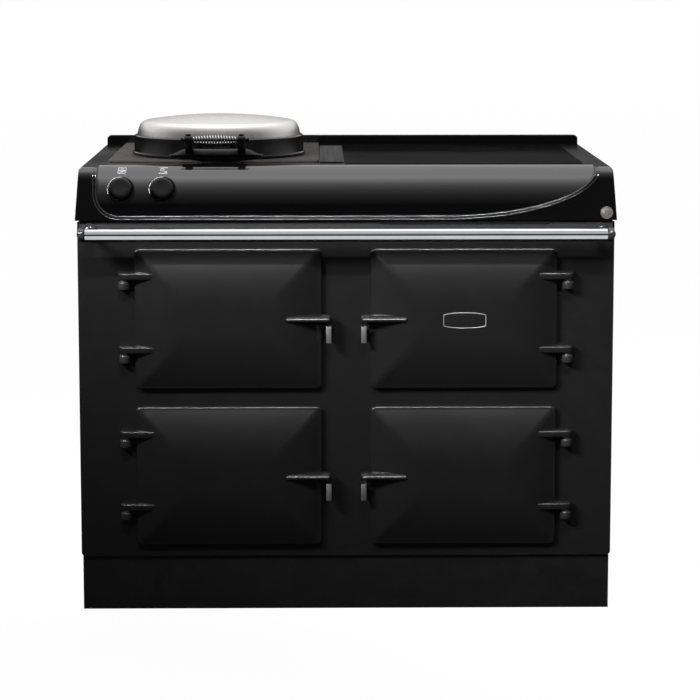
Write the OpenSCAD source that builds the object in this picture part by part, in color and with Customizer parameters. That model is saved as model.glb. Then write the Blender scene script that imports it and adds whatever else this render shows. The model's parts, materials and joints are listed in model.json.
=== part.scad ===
// Cast iron range cooker with four ovens, one lidded hotplate and a glass induction hob.
// Millimetres: x runs to the right, y to the back and z up from the floor.
// Every module is drawn with y = 0 on the front plate's face, and framed() then centres the whole.

/* [Plinth] */
// Height of the plinth
plinth_h = 111; // [80:1:150]
// Plinth's front behind the front plate's face
plinth_setback = 6; // [2:1:40]
// Plinth's ends, in from the front plate's ends
plinth_end_inset = 2.5; // [0:0.5:20]
// Thickness of the plinth's folded sheet
plinth_sheet = 3; // [1.5:0.5:5]
// Width of the plinth's top flange
plinth_flange = 40; // [20:1:60]
// Shadow gap between the plinth and the front plate
plinth_gap = 2; // [1:0.5:6]
// Radius of a levelling foot's pad
foot_r = 22; // [15:1:30]
// Thickness of a levelling foot's pad
foot_h = 8; // [5:1:15]
// Radius of a levelling foot's stud
foot_stud_r = 6; // [4:1:8]
// A foot's centre, in from the body's end and front or back
foot_inset = 75; // [70:1:120]

/* [Body] */
// Thickness of the side panels
side_t = 4; // [2:0.5:6]
// How far each side panel stands inside the front plate's end
side_inset = 1.5; // [0:0.5:6]
// Thickness of the back panel
back_t = 2; // [1:0.5:4]
// Thickness of the chassis base
base_t = 5; // [3:0.5:8]
// Width of each leg of a chassis corner angle
angle_w = 30; // [20:1:40]
// Thickness of the chassis angles and rails
angle_t = 4; // [2:0.5:6]
// Height of the chassis top rails
rail_bar_h = 14; // [10:1:20]
// Radius of a back panel screw's head
screw_r = 4.5; // [3:0.5:6]
// Height of a back panel screw's head
screw_h = 2.5; // [1.5:0.5:4]
// Screws along each upright edge of the back panel
screws_per_edge = 5; // [3:1:9]

/* [Front plate] */
// Thickness of the cast front plate
plate_t = 10; // [8:0.5:14]
// Radius of the front plate's two bottom corners
plate_corner = 8; // [4:1:14]
// Front plate between its bottom edge and the lower doors
door_foot_margin = 25.5; // [15:0.5:60]
// Front plate between the two rows of doors
door_row_gap = 37.5; // [35:0.5:60]
// Front plate between the upper doors and its top edge
door_head_margin = 53; // [50:0.5:80]
// Front plate between a door's hinge edge and the plate's end
door_side_margin = 115.5; // [90:0.5:140]
// Front plate between the left and right doors
door_mid_gap = 99; // [90:0.5:140]

/* [Doors] */
// Width of a door
door_w = 380.5; // [360:0.5:400]
// Height of a door
door_h = 288; // [270:0.5:310]
// Corner radius of a door, seen from the front
door_corner = 11; // [8:0.5:20]
// Thickness of the door's edge band
door_edge = 12; // [10:0.5:16]
// Rounding at the front of the edge band
door_edge_round = 4; // [2:0.5:6]
// How far the four sloping facets rise from the edge band to the raised panel
door_rise = 26; // [18:0.5:34]
// Width of the raised panel in the middle of a door
panel_w = 219; // [190:1:240]
// Height of the raised panel in the middle of a door
panel_h = 119; // [100:1:140]
// Corner radius of the raised panel
panel_corner = 10; // [6:1:16]
// Wall of the door casting
door_wall = 6; // [4:0.5:8]
// Gap between a closed door and the front plate
door_gap = 0.5; // [0.3:0.1:1.5]
// Thickness of the door liner's sheet
liner_t = 2; // [1:0.5:3]
// Gap round a liner inside its casting
liner_play = 1; // [0.8:0.1:2]
// How far the liner's plug reaches into the oven mouth, behind the plate's face
plug_depth = 22; // [15:1:30]
// Clearance between the plug and the oven mouth
plug_clear = 6; // [5:0.5:10]
// Distance from the door's edge to the oven mouth
mouth_inset = 20; // [18:0.5:30]
// Corner radius of the oven mouth
mouth_corner = 12; // [8:1:20]
// Radius of the four bosses that carry the liner
boss_r = 8; // [5:1:10]
// Distance from the door's edges to a boss
boss_inset = 40; // [34:1:60]
// Width of the plain plate on the upper right door
badge_w = 87; // [60:1:100]
// Height of the plain plate on the upper right door
badge_h = 34; // [20:1:40]
// Thickness of the plain plate
badge_t = 2; // [1:0.5:3]

/* [Door hinges] */
// Distance from the door's edge to the hinge axis
hinge_out = 21; // [18:0.5:26]
// Distance from the front plate's face to the hinge axis
hinge_forward = 14; // [13:0.5:18]
// Outer radius of a hinge eye
eye_r = 11.5; // [9:0.5:12.5]
// Radius of a hinge pin
pin_r = 4; // [3:0.5:5]
// Height of a door's hinge lug
lug_h = 17; // [14:0.5:20]
// How far the lug's sloping top drops towards the front
lug_slope = 7; // [3:0.5:9]
// Distance the lug runs in over the door's edge
lug_run = 45; // [35:1:60]
// Upper lug's centre below the door's top edge
upper_lug_drop = 54; // [45:1:70]
// Lower lug's centre above the door's bottom edge
lower_lug_rise = 83; // [70:1:95]
// Height of a fixed hinge bracket
bracket_h = 17; // [12:0.5:20]
// Gap between a lug and the bracket below it
hinge_gap = 4; // [3:0.5:6]
// Radius of the pin's collar in that gap
collar_r = 7; // [6:0.5:8]

/* [Door handles and catches] */
// How far the handle lug reaches past the door's free edge
handle_reach = 20; // [14:0.5:22]
// Top of the handle lug above the door's middle, at its back
handle_up = 10; // [6:0.5:14]
// Underside of the handle lug below the door's middle
handle_down = 12; // [8:0.5:16]
// How far the handle lug's top drops towards the front
handle_slope = 9; // [4:0.5:14]
// Space between the handle lug and the front plate
handle_space = 15; // [13:0.5:18]
// Radius of the handle lug's outer corner
handle_round = 8; // [4:0.5:10]
// How far the handle lug runs in from the door's free edge
handle_run = 72; // [60:1:80]
// Width of a catch bar
catch_w = 10.5; // [8:0.5:14]
// Height of a catch bar
catch_h = 34; // [24:1:44]
// Distance from the door's free edge to the catch bar
catch_clear = 8.5; // [6:0.5:12]
// Distance from the front plate to the catch bar's face
catch_front = 33; // [28:0.5:36]
// Thickness of the catch bar behind its face
catch_t = 12; // [8:0.5:16]
// Gap between the catch bar and the handle lug above it
catch_gap = 1.5; // [0.5:0.5:3]

/* [Ovens] */
// How far an oven's inner side stands out past its mouth
oven_wider = 2.75; // [1:0.25:6]
// How far an oven's roof and floor stand past its mouth
oven_taller = 2; // [1:0.5:6]
// Inner depth of an oven behind the front plate
oven_d = 480; // [400:1:500]
// Wall of an oven casting
oven_wall = 5; // [4:0.5:7]
// Width of an oven's front flange
oven_flange = 12; // [8:1:16]
// Thickness of an oven's front flange
flange_t = 4; // [3:0.5:6]
// Width of a shelf runner
runner_w = 12; // [8:1:16]
// Height of a shelf runner
runner_h = 4; // [3:0.5:6]
// Lower runner below the middle of the oven
runner_low = 60; // [40:1:80]
// Upper runner above the middle of the oven
runner_high = 40; // [30:1:60]
// Radius of a shelf's outer rod
shelf_rod_r = 3; // [2:0.5:4]
// Radius of a shelf's cross bars
shelf_bar_r = 2; // [1.5:0.5:3]
// Cross bars on one shelf
shelf_bars = 14; // [8:1:20]
// Space at each side of a shelf
shelf_play = 6; // [5:0.5:8]
// Depth of a shelf
shelf_d = 420; // [360:1:440]
// Radius of an oven element's tube
element_r = 4; // [3:0.5:5]
// Distance between the two legs of an oven element
element_w = 220; // [160:1:260]
// Distance from the oven's roof to an element's centre
element_drop = 15; // [10:1:25]
// Width of a door seal
seal_w = 8; // [5:0.5:10]
// Depth of a door seal's groove
seal_t = 5; // [3:0.5:6]
// Distance from the oven mouth to the door seal
seal_off = 5; // [4:0.5:6]
// Thickness of the insulation above and below the ovens
wrap_t = 9; // [6:1:14]

/* [Top casting] */
// Gap between the front plate and the top casting
casting_gap = 4; // [2:0.5:8]
// Height of the top casting
casting_h = 106; // [98:1:120]
// How far the casting's lip stands out past the front plate at each end
lip_over = 3.5; // [1:0.5:8]
// How far the casting's ends lean in between the lip and the top
end_lean = 7.5; // [2:0.5:14]
// How far the lip stands in front of the front plate
lip_front = 12; // [8:0.5:16]
// Lean of the casting's front face from upright, in degrees
face_lean = 6; // [2:0.5:10]
// Radius of the casting's front edge at the two cheeks
cheek_r = 25; // [16:1:32]
// Radius of the casting's two upper end corners
end_r = 7; // [3:0.5:12]
// Wall of the top casting
casting_wall = 7; // [5:0.5:9]

/* [Fascia] */
// Radius of the fascia's long curve
fascia_r = 80; // [70:1:88]
// Distance of the fascia's upright part behind the front plate's face line, negative is in front
fascia_front = -6; // [-9:0.5:0]
// Left end of the fascia, in from the cooker's end
fascia_left_in = 40.5; // [31:0.5:50]
// Corner radius at the fascia's lower left
fascia_corner = 45; // [30:1:60]
// Height of the fascia's lower edge above the casting's lip
fascia_foot = 9; // [6:0.5:14]
// Right end of the fascia, in from the cooker's end
fascia_right_in = 38.5; // [34:0.5:65]
// Length of the sweeping curve at the fascia's right end
sweep_w = 307; // [240:1:360]
// Width of the raised bead round the fascia
bead_w = 5; // [3:0.5:7]
// Height of the raised bead
bead_t = 1.5; // [1:0.5:2.5]
// Width of the shallow notch in the fascia's top edge
notch_w = 133; // [100:1:160]
// Depth of that notch
notch_t = 3; // [2:0.5:4]
// Radius of the plain round boss on the right cheek
medal_r = 12.8; // [9:0.1:14]
// Distance of the boss from the body's right end
medal_in = 17.5; // [15:0.5:22]
// Height of the boss above the casting's lip
medal_up = 15; // [14:0.5:30]
// Thickness of the round boss
medal_t = 3; // [2:0.5:4]

/* [Vent trim] */
// Height of the vent trim below the casting
trim_h = 37; // [30:1:44]
// Thickness of the vent trim
trim_t = 4; // [2:0.5:5]
// Distance from the vent trim's end to the front plate's end
trim_inset = 4.5; // [2:0.5:10]
// Left end of the vent slot from the middle
slot_x = 68; // [20:1:120]
// Width of the vent slot
slot_w = 349; // [260:1:380]
// Height of the vent slot
slot_h = 6; // [4:0.5:9]

/* [Handrail] */
// Radius of the handrail
rail_r = 12.5; // [10:0.5:14]
// Wall of the handrail tube
rail_wall = 2; // [1:0.5:3]
// Handrail's end, in from the cooker's end
rail_end_in = 20.5; // [16:0.5:30]
// Distance from the front plate to the handrail's axis
rail_stand = 65; // [56:1:75]
// Handrail's axis below the top of the front plate
rail_drop = 19; // [17:0.5:22]
// Radius of the end cap
rail_cap_r = 13.5; // [13:0.5:16]
// Length of the end cap
rail_cap_w = 12; // [8:0.5:15]
// Radius of the foot boss on the front
rail_boss_r = 17; // [14:0.5:18]
// Thickness of the foot boss
rail_boss_t = 8; // [5:0.5:12]
// Distance of the foot boss inside the handrail's end
rail_boss_in = 6; // [0:0.5:12]
// Radius of the bracket's arm
rail_arm_r = 9; // [7:0.5:10]
// Length of the spigot inside the tube
spigot_l = 20; // [12:1:30]

/* [Hob] */
// Gap between the infill strip and the glass
glass_gap = 1.5; // [0.5:0.5:20]
// Width of the ceramic glass
glass_w = 493; // [440:1:500]
// Distance from the front plate's face to the glass
glass_y = 95; // [90:1:110]
// Depth of the ceramic glass
glass_d = 555; // [480:1:560]
// Casting behind the glass, up to the cooker's back
glass_back = 40; // [36:1:60]
// Thickness of the ceramic glass
glass_t = 5; // [4:0.5:6]
// How far the glass stands above the casting
glass_up = 1; // [0.5:0.5:2]
// Width of the ledge that carries the glass
ledge_w = 12; // [8:1:18]
// Corner radius of the glass
glass_corner = 6; // [3:1:10]
// Height of the induction unit
unit_h = 55; // [40:1:80]
// Radius of the large induction coils
coil_big_r = 105; // [90:1:110]
// Radius of the small induction coil
coil_small_r = 72; // [60:1:80]
// Radius of the hole in each induction coil
coil_hole_r = 20; // [10:1:30]
// Big induction coil's edge, in from the glass's ledge at the side
coil_side_in = 7.5; // [4:0.5:16]
// The same at the front and back
coil_end_in = 35.5; // [20:0.5:60]
// Thickness of the induction coils
coil_disc_t = 2.5; // [1.5:0.5:2.5]
// Gap between the surround and the infill strip
strip_gap = 2; // [0.5:0.5:6]
// Width of the infill strip
strip_w = 49.5; // [42:0.5:49.5]
// Thickness of the infill strip
strip_t = 2; // [1:0.5:3]
// Distance from the front plate's face to the infill strip
strip_y = 130; // [100:1:160]
// Infill strip's back end, in from the back
strip_back = 93; // [60:1:120]
// Rear rail's end, in from the cooker's end
rear_in = 8.5; // [5:0.5:25]
// Thickness of the rear rail
rear_t = 30; // [20:1:34]
// Height of the rear rail
rear_h = 20; // [12:1:30]
// Corner radius of the rear rail
rear_corner = 7; // [3:0.5:10]
// Depth of the two grooves along the rear rail
groove_t = 2; // [1:0.5:4]
// Height of a groove along the rear rail
groove_h = 3; // [2:0.5:4]

/* [Hotplate] */
// Centre of the hotplate from the surround's left edge
lid_in = 224; // [218:1:231]
// Centre of the hotplate behind the front plate's face
lid_y = 317; // [310:1:325]
// Radius of the cast hotplate
hotplate_r = 165; // [150:1:168]
// Thickness of the cast hotplate
hotplate_t = 34; // [24:1:40]
// Hotplate's top below the top of its surround
hotplate_sink = 0.5; // [0.5:0.5:2]
// Radius of the hole in the surround
surround_hole_r = 172; // [170:1:176]
// Left edge of the surround, in from the cooker's end
surround_in = 52.5; // [46:0.5:65]
// Width of the surround
surround_w = 438; // [425:1:438]
// Distance from the front plate's face to the surround
surround_y = 143; // [138:1:146]
// Surround's back edge, in from the back
surround_back = 35; // [33:0.5:57]
// Thickness of the surround
surround_t = 5; // [3:0.5:7]
// Corner radius of the surround
surround_corner = 5; // [3:1:10]
// Wall of the hotplate's housing
housing_wall = 4; // [2:0.5:5]
// Depth of the hotplate's housing below the hob
housing_d = 75; // [68:1:90]
// Thickness of the hotplate's heating element
heater_t = 8; // [5:0.5:12]
// Radius of the pillar under the heating element
pillar_r = 60; // [40:1:80]

/* [Lid] */
// Gap between the closed lid and the surround
lid_gap = 1; // [0.5:0.5:2]
// Radius of the bead round the lid's foot
lid_foot_r = 185; // [183:0.5:188]
// Height of the bead round the lid's foot
lid_foot_h = 6; // [4:0.5:8]
// Outer radius of the lid's lower band
band_r = 181; // [179:0.5:182]
// Height of the lid's lower band
band_h = 41; // [36:1:48]
// Outer radius of the dome's upright wall
dome_r = 171; // [165:0.5:175]
// Height of the dome above the band
dome_h = 43; // [36:1:50]
// Rise of the dome's shallow crown
crown_h = 13; // [8:0.5:18]
// Radius of the dome's shoulder
shoulder_r = 10; // [6:0.5:14]
// Thickness of the lid's sheet
lid_sheet = 1.5; // [1:0.5:2.5]
// Thickness of the lid's band
band_t = 3; // [2:0.5:4]
// Lid's hinge axis behind the lid's centre
lid_hinge_back = 213; // [208:1:220]
// Lid's hinge axis above the surround
lid_hinge_up = 15; // [13:0.5:20]
// Radius of the lid's hinge eyes
lid_eye_r = 9; // [7:0.5:10]
// Radius of the lid's hinge pin
lid_pin_r = 5; // [3:0.5:6]
// Distance from the lid's middle to a hinge arm
lid_arm_x = 40; // [30:1:60]
// Width of a hinge arm
lid_arm_w = 14; // [10:1:20]
// Width of an ear of the fixed hinge bracket
ear_w = 10; // [6:1:14]
// Gap between a hinge arm and an ear
ear_gap = 1; // [0.5:0.5:2]
// Thickness of the fixed hinge bracket's base
ear_base_t = 4; // [3:0.5:4]

/* [Lid handle] */
// Handle's axis in front of the lid's centre
grip_y = 223; // [216:1:230]
// Handle's axis above the surround
grip_z = 45; // [42:1:50]
// Radius of the core rod
rod_r = 3.6; // [3:0.1:3.8]
// Half length of the core rod
rod_half = 70; // [66:1:76]
// Radius of the nuts at the rod's ends
nut_r = 6; // [5:0.5:8]
// Length of the nuts at the rod's ends
nut_l = 5; // [4:0.5:5.5]
// Half length of the wound grip
wound_half = 46.5; // [42:0.5:48]
// Turns of the wound grip
wound_turns = 16; // [12:1:17]
// Radius of the wound wire
wire_r = 1.2; // [0.9:0.1:1.3]
// Outer radius of the winding at its ends
wound_end_r = 6.8; // [6.5:0.1:7.5]
// Outer radius of the winding at its middle
wound_mid_r = 9.5; // [8:0.1:10]
// Width of a clamp at the end of the winding
clamp_w = 16; // [12:0.5:17]
// Radius of a clamp
clamp_r = 10; // [9:0.5:11]
// Height of the handle's curved foot
saddle_h = 16; // [12:1:22]
// Thickness of the handle's curved foot
saddle_t = 18; // [14:1:22]
// Half angle of the handle's curved foot, in degrees
saddle_half = 31; // [26:1:36]

/* [Controls] */
// Left knob, in from the cooker's end
knob_in = 89.5; // [84:0.5:95]
// Distance between the two knobs
knob_pitch = 84; // [66:1:100]
// Height of the knobs above the casting's lip
knob_up = 61; // [56:1:64]
// Radius of a knob
knob_r = 23.5; // [20:0.5:25]
// Height of a knob
knob_h = 16; // [12:0.5:22]
// Radius of the ring round a knob
bezel_r = 28.5; // [27.5:0.5:31]
// Thickness of that ring
bezel_t = 7; // [5:0.5:9]
// Depth of the ring's face below the fascia
bezel_sink = 3; // [2:0.5:4]
// Radius of a knob's spindle
spindle_r = 3; // [2:0.5:4]
// Length of a knob's spindle
spindle_l = 30; // [20:1:34]
// Radius of a control's body
switch_r = 22; // [16:1:24]
// Length of a control's body
switch_l = 32; // [28:1:38]
// Reach of the knob's pointer past its rim
pointer_l = 3.5; // [2:0.5:3.5]

/* [Rear services] */
// Outer radius of the oven vent pipe
vent_r = 25; // [20:1:30]
// Wall of the oven vent pipe
vent_wall = 3; // [2:0.5:4]
// How far the vent pipe stands out of the back
vent_out = 20; // [12:1:30]
// Width and thickness of its collar against the back panel
vent_collar = 3; // [2:0.5:5]
// Vent pipe, in from the side panel
vent_in = 240; // [180:1:340]
// Vent pipe below the top of the body
vent_drop = 95; // [60:1:140]
// Radius of the cable gland's bore
cable_r = 8; // [6:0.5:10]
// Radius of the cable gland's body
gland_r = 14; // [12:0.5:18]
// How far the cable gland stands out of the back
gland_out = 12; // [8:1:18]
// Cable gland, in from the side panel
gland_in = 120; // [100:1:180]
// Cable gland above the bottom of the body
gland_up = 95; // [80:1:160]
// Size of the terminal box
box_w = 100; // [70:1:120]
// Depth of the terminal box
box_d = 50; // [36:1:70]
// Wall of the terminal box
box_wall = 2; // [1.5:0.5:3]

/* [Fits] */
// Radial clearance of a running fit
run_fit = 0.05; // [0.02:0.01:0.1]
// Gap between two pieces that pass each other
pass_gap = 0.3; // [0.3:0.1:1]

/* [Hidden] */
$fn = 64;

// Levels, from the floor up
body_depth = glass_y + glass_d + glass_back;
base_z = plinth_h;
plate_z = plinth_h + plinth_gap;
plate_h = door_foot_margin + 2 * door_h + door_row_gap + door_head_margin;
plate_top = plate_z + plate_h;
lip_z = plate_top + casting_gap;
hob_z = lip_z + casting_h;
surround_z = hob_z + surround_t;
deck_z = hob_z - casting_wall;
// Widths and depths
body_w = 2 * (door_side_margin + door_w) + door_mid_gap;
side_x = body_w / 2 - side_inset - side_t;
back_y = body_depth - back_t;
rail_half = body_w / 2 - rail_end_in;
gland_x = side_x - gland_in;
vent_x = vent_in - side_x;
front_reach = rail_stand + rail_cap_r;
rear_reach = body_depth + vent_out;
front_y = -(rear_reach - front_reach) / 2;
// Doors and ovens
door_x = door_mid_gap / 2 + door_w / 2;
lower_z = plate_z + door_foot_margin + door_h / 2;
upper_z = lower_z + door_h + door_row_gap;
door_front = door_edge + door_rise;
mouth_w = door_w - 2 * mouth_inset;
mouth_h = door_h - 2 * mouth_inset;
oven_w = mouth_w + 2 * oven_wider;
oven_h = mouth_h + 2 * oven_taller;
shelf_w = oven_w - 2 * shelf_play;
plug_w = mouth_w - 2 * plug_clear;
plug_h = mouth_h - 2 * plug_clear;
hinge_x = -(door_w / 2 + hinge_out);
pin_bottom = -lug_h / 2 - hinge_gap - bracket_h;
shelf_z = -runner_low + runner_h + shelf_rod_r;
skin = 0.1;
// Top casting's front, seen from the end: a leaning face that runs into the cheek's edge radius
face_z = hob_z - cheek_r + cheek_r * sin(face_lean);
face_y = -lip_front + (face_z - lip_z) * tan(face_lean);
cheek_y = face_y + cheek_r * cos(face_lean);
fascia_left = fascia_left_in - body_w / 2;
fascia_right = body_w / 2 - fascia_right_in;
fascia_y = fascia_front + fascia_r;
fascia_z = hob_z - fascia_r;
fascia_low = lip_z + fascia_foot;
notch_y = fascia_y - 30;
// Knobs stand square to the fascia's curve
knob_x = knob_in - body_w / 2;
knob_z = lip_z + knob_up;
knob_tilt = asin((knob_z - fascia_z) / fascia_r);
knob_y = fascia_y - fascia_r * cos(knob_tilt);
// Hob: surround, strip and glass side by side
rear_half = body_w / 2 - rear_in;
surround_x = surround_in - body_w / 2;
surround_d = body_depth - surround_y - surround_back;
strip_x = surround_x + surround_w + strip_gap;
strip_d = body_depth - strip_y - strip_back;
glass_x = strip_x + strip_w + glass_gap;
coil_side = glass_w / 2 - ledge_w - coil_side_in - coil_big_r;
coil_fore = glass_d / 2 - ledge_w - coil_end_in - coil_big_r;
// Hotplate and lid
lid_x = surround_x + lid_in;
heater_z = surround_z - hotplate_sink - hotplate_t - heater_t;
housing_z = hob_z - housing_d;
lid_z = surround_z + lid_gap;
band_top = lid_z + band_h;
dome_top = band_top + dome_h;
crown_r = (pow(dome_r - shoulder_r, 2) + pow(crown_h, 2)) / (2 * crown_h);
lid_axis_y = lid_y + lid_hinge_back;
lid_axis_z = surround_z + lid_hinge_up;
grip_at = [lid_x, lid_y - grip_y, surround_z + grip_z];
saddle_z = lid_z + lid_foot_h + 1;
clamp_x = wound_half + clamp_w / 2;

// Moves a piece from the front plate's own place to the middle of the whole
module framed() {
    translate([0, front_y, 0])
        children();
}

// A box from its low corner to its high corner
module span(low, high) {
    translate(low)
        cube(high - low);
}

// An outline in x and z, thickened from y0 back to y1
module upright(y0, y1) {
    translate([0, y1, 0])
        rotate([90, 0, 0])
            linear_extrude(y1 - y0)
                children();
}

// An outline in y and z, thickened from x0 to x1
module across(x0, x1) {
    translate([x0, 0, 0])
        rotate([90, 0, 90])
            linear_extrude(x1 - x0)
                children();
}

// A centred rectangle with round corners
module round_rect(w, h, r) {
    square([w - 2 * r, h], center = true);
    square([w, h - 2 * r], center = true);
    for (sx = [-1, 1], sy = [-1, 1])
        translate([sx * (w / 2 - r), sy * (h / 2 - r)])
            circle(r);
}

// Places a piece, drawn for a left-hand door, at one door: side is -1 or 1
module at_door(side, z) {
    translate([side * door_x, 0, z])
        mirror([side > 0 ? 1 : 0, 0, 0])
            children();
}

// Repeats a fixed piece at all four doors
module at_each_door() {
    for (side = [-1, 1], z = [lower_z, upper_z])
        at_door(side, z)
            children();
}

// Turns a piece drawn upright so that it stands on the fascia at a knob
module on_fascia(x) {
    translate([x, knob_y, knob_z])
        rotate([90 - knob_tilt, 0, 0])
            children();
}

module plinth() {
    half = body_w / 2 - plinth_end_inset;
    inner = half - plinth_sheet;
    front = plinth_setback;
    back = body_depth - plinth_setback;
    color("#171718") framed() difference() {
        span([-half, front, 0], [half, back, plinth_h]);
        span([-inner, front + plinth_sheet, -1], [inner, back - plinth_sheet, plinth_h - plinth_sheet]);
        span([plinth_flange - half, front + plinth_flange, 0],
            [half - plinth_flange, back - plinth_flange, plinth_h + 1]);
    }
}

module levelling_feet() {
    color("silver") framed()
        for (sx = [-1, 1], y = [foot_inset, body_depth - foot_inset])
            translate([sx * (body_w / 2 - foot_inset), y, 0]) {
                cylinder(r = foot_r, h = foot_h);
                cylinder(r = foot_stud_r, h = plinth_h);
            }
}

module chassis_frame() {
    inner = side_x;
    color("#4c4c52") framed() {
        span([-inner, plate_t, base_z], [inner, back_y, base_z + base_t]);
        for (sx = [-1, 1], sy = [0, 1])
            mirror([sx > 0 ? 1 : 0, 0, 0])
                translate([0, sy * (plate_t + back_y), 0])
                    mirror([0, sy, 0])
                        difference() {
                            span([-inner, plate_t, base_z], [angle_w - inner, plate_t + angle_w, lip_z]);
                            span([angle_t - inner, plate_t + angle_t, base_z - 1],
                                [angle_w - inner + 1, plate_t + angle_w + 1, lip_z + 1]);
                        }
        difference() {
            span([-inner, plate_t, lip_z - rail_bar_h], [inner, back_y, lip_z]);
            span([angle_t - inner, plate_t + angle_t, lip_z - rail_bar_h - 1],
                [inner - angle_t, back_y - angle_t, lip_z + 1]);
        }
    }
}

module front_plate() {
    color("#080808") framed() difference() {
        union() {
            translate([0, 0, plate_z + plate_h / 2])
                upright(0, plate_t)
                    round_rect(body_w, plate_h, plate_corner);
            span([-body_w / 2, 0, plate_top - 2 * plate_corner], [body_w / 2, plate_t, plate_top]);
        }
        at_each_door() {
            upright(-1, plate_t + 1)
                round_rect(mouth_w, mouth_h, mouth_corner);
            seal_ring();
        }
    }
}

// The soft rope in its groove round an oven mouth
module seal_ring() {
    near = mouth_inset - seal_off;
    difference() {
        upright(0, seal_t)
            round_rect(door_w - 2 * (near - seal_w), door_h - 2 * (near - seal_w),
                mouth_corner + seal_off + seal_w);
        upright(-1, seal_t + 1)
            round_rect(door_w - 2 * near, door_h - 2 * near, mouth_corner + seal_off);
    }
}

module oven_seals() {
    color("#8c8780") framed()
        at_each_door()
            seal_ring();
}

module side_panel(side) {
    color("#080808") framed()
        mirror([side > 0 ? 1 : 0, 0, 0])
            span([-side_x - side_t, plate_t, plate_z], [-side_x, body_depth, plate_top]);
}

module left_side_panel() {
    side_panel(-1);
}

module right_side_panel() {
    side_panel(1);
}

module back_panel() {
    color("#737578") framed() difference() {
        span([-side_x, back_y, plate_z], [side_x, body_depth, plate_top]);
        translate([vent_x, back_y - 1, plate_top - vent_drop])
            rotate([-90, 0, 0])
                cylinder(r = vent_r, h = back_t + 2);
        translate([gland_x, back_y - 1, plate_z + gland_up])
            rotate([-90, 0, 0])
                cylinder(r = cable_r + box_wall, h = back_t + 2);
    }
}

module back_screws() {
    edge = angle_w / 2;
    step = (plate_h - 2 * edge) / (screws_per_edge - 1);
    color("silver") framed()
        for (sx = [-1, 1], i = [0 : screws_per_edge - 1])
            translate([sx * (side_x - edge), body_depth, plate_z + edge + i * step])
                rotate([-90, 0, 0])
                    cylinder(r1 = screw_r, r2 = screw_r - 1, h = screw_h);
}

module vent_trim() {
    half = body_w / 2 - trim_inset;
    color("#59595c") framed() difference() {
        span([-half, -trim_t, plate_top - trim_h], [half, 0, plate_top]);
        upright(-trim_t - 1, 1)
            polygon([[slot_x - slot_h, plate_top + slot_h], [slot_x - slot_h, plate_top],
                [slot_x + slot_h, plate_top - slot_h], [slot_x + slot_w - slot_h, plate_top - slot_h],
                [slot_x + slot_w + slot_h, plate_top], [slot_x + slot_w + slot_h, plate_top + slot_h]]);
    }
}

// The casting seen from the end, with its face and edge moved out by grow
module end_outline(grow) {
    translate([cheek_y, hob_z - cheek_r])
        circle(cheek_r + grow);
    polygon([[-lip_front - grow, lip_z], [face_y - grow * cos(face_lean), face_z],
        [cheek_y, hob_z - cheek_r], [cheek_y, hob_z + grow], [body_depth, hob_z + grow],
        [body_depth, lip_z]]);
}

// The casting seen from the front: leaning ends and two round upper corners
module front_outline() {
    half = body_w / 2 + lip_over;
    top = half - end_lean;
    corner = top - end_r;
    polygon([[-half, lip_z], [-top, hob_z - end_r], [-corner, hob_z + 5],
        [corner, hob_z + 5], [top, hob_z - end_r], [half, lip_z]]);
    for (sx = [-1, 1])
        translate([sx * corner, hob_z - end_r])
            circle(end_r);
}

// The fascia's outline, grown outwards: a round lower left corner and a sweeping right end
module fascia_outline(grow) {
    left = fascia_left - grow;
    low = fascia_low - grow;
    r = fascia_corner + grow;
    sweep_x = fascia_right - sweep_w;
    steps = 28;
    over = hob_z + 20;
    sweep = [for (i = [0 : steps])
        [sweep_x + (sweep_w + grow) * sin(90 * i / steps), hob_z - (hob_z - low) * cos(90 * i / steps)]];
    polygon(concat([[left, over], [left, low + r], [left + r, low + r], [left + r, low]], sweep,
        [[fascia_right + grow, over]]));
    translate([left + r, low + r])
        circle(r);
}

// What is cut away in front of the fascia's long curve
module fascia_cut() {
    intersection() {
        across(fascia_left - 1, fascia_right + 1)
            difference() {
                translate([-lip_front - 20, fascia_low - 20])
                    square([fascia_y + lip_front + 20, hob_z - fascia_low + 60]);
                translate([fascia_y, fascia_z])
                    circle(fascia_r, $fn = 96);
                translate([fascia_front, lip_z - 20])
                    square([fascia_r, fascia_z - lip_z + 20]);
            }
        upright(-lip_front - 20, fascia_y + 1)
            fascia_outline(0);
    }
}

// The hollow under the casting, a wall's thickness inside the fascia's curve
module casting_hollow() {
    half = body_w / 2 + lip_over - end_lean - casting_wall;
    inner_r = fascia_r - casting_wall;
    across(-half, half) {
        translate([fascia_y, fascia_z])
            circle(inner_r, $fn = 96);
        translate([fascia_front + casting_wall, lip_z - 1])
            square([inner_r, fascia_z - lip_z + 1]);
        translate([fascia_y, lip_z - 1])
            square([body_depth - casting_wall - fascia_y, deck_z - lip_z + 1]);
    }
}

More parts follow.
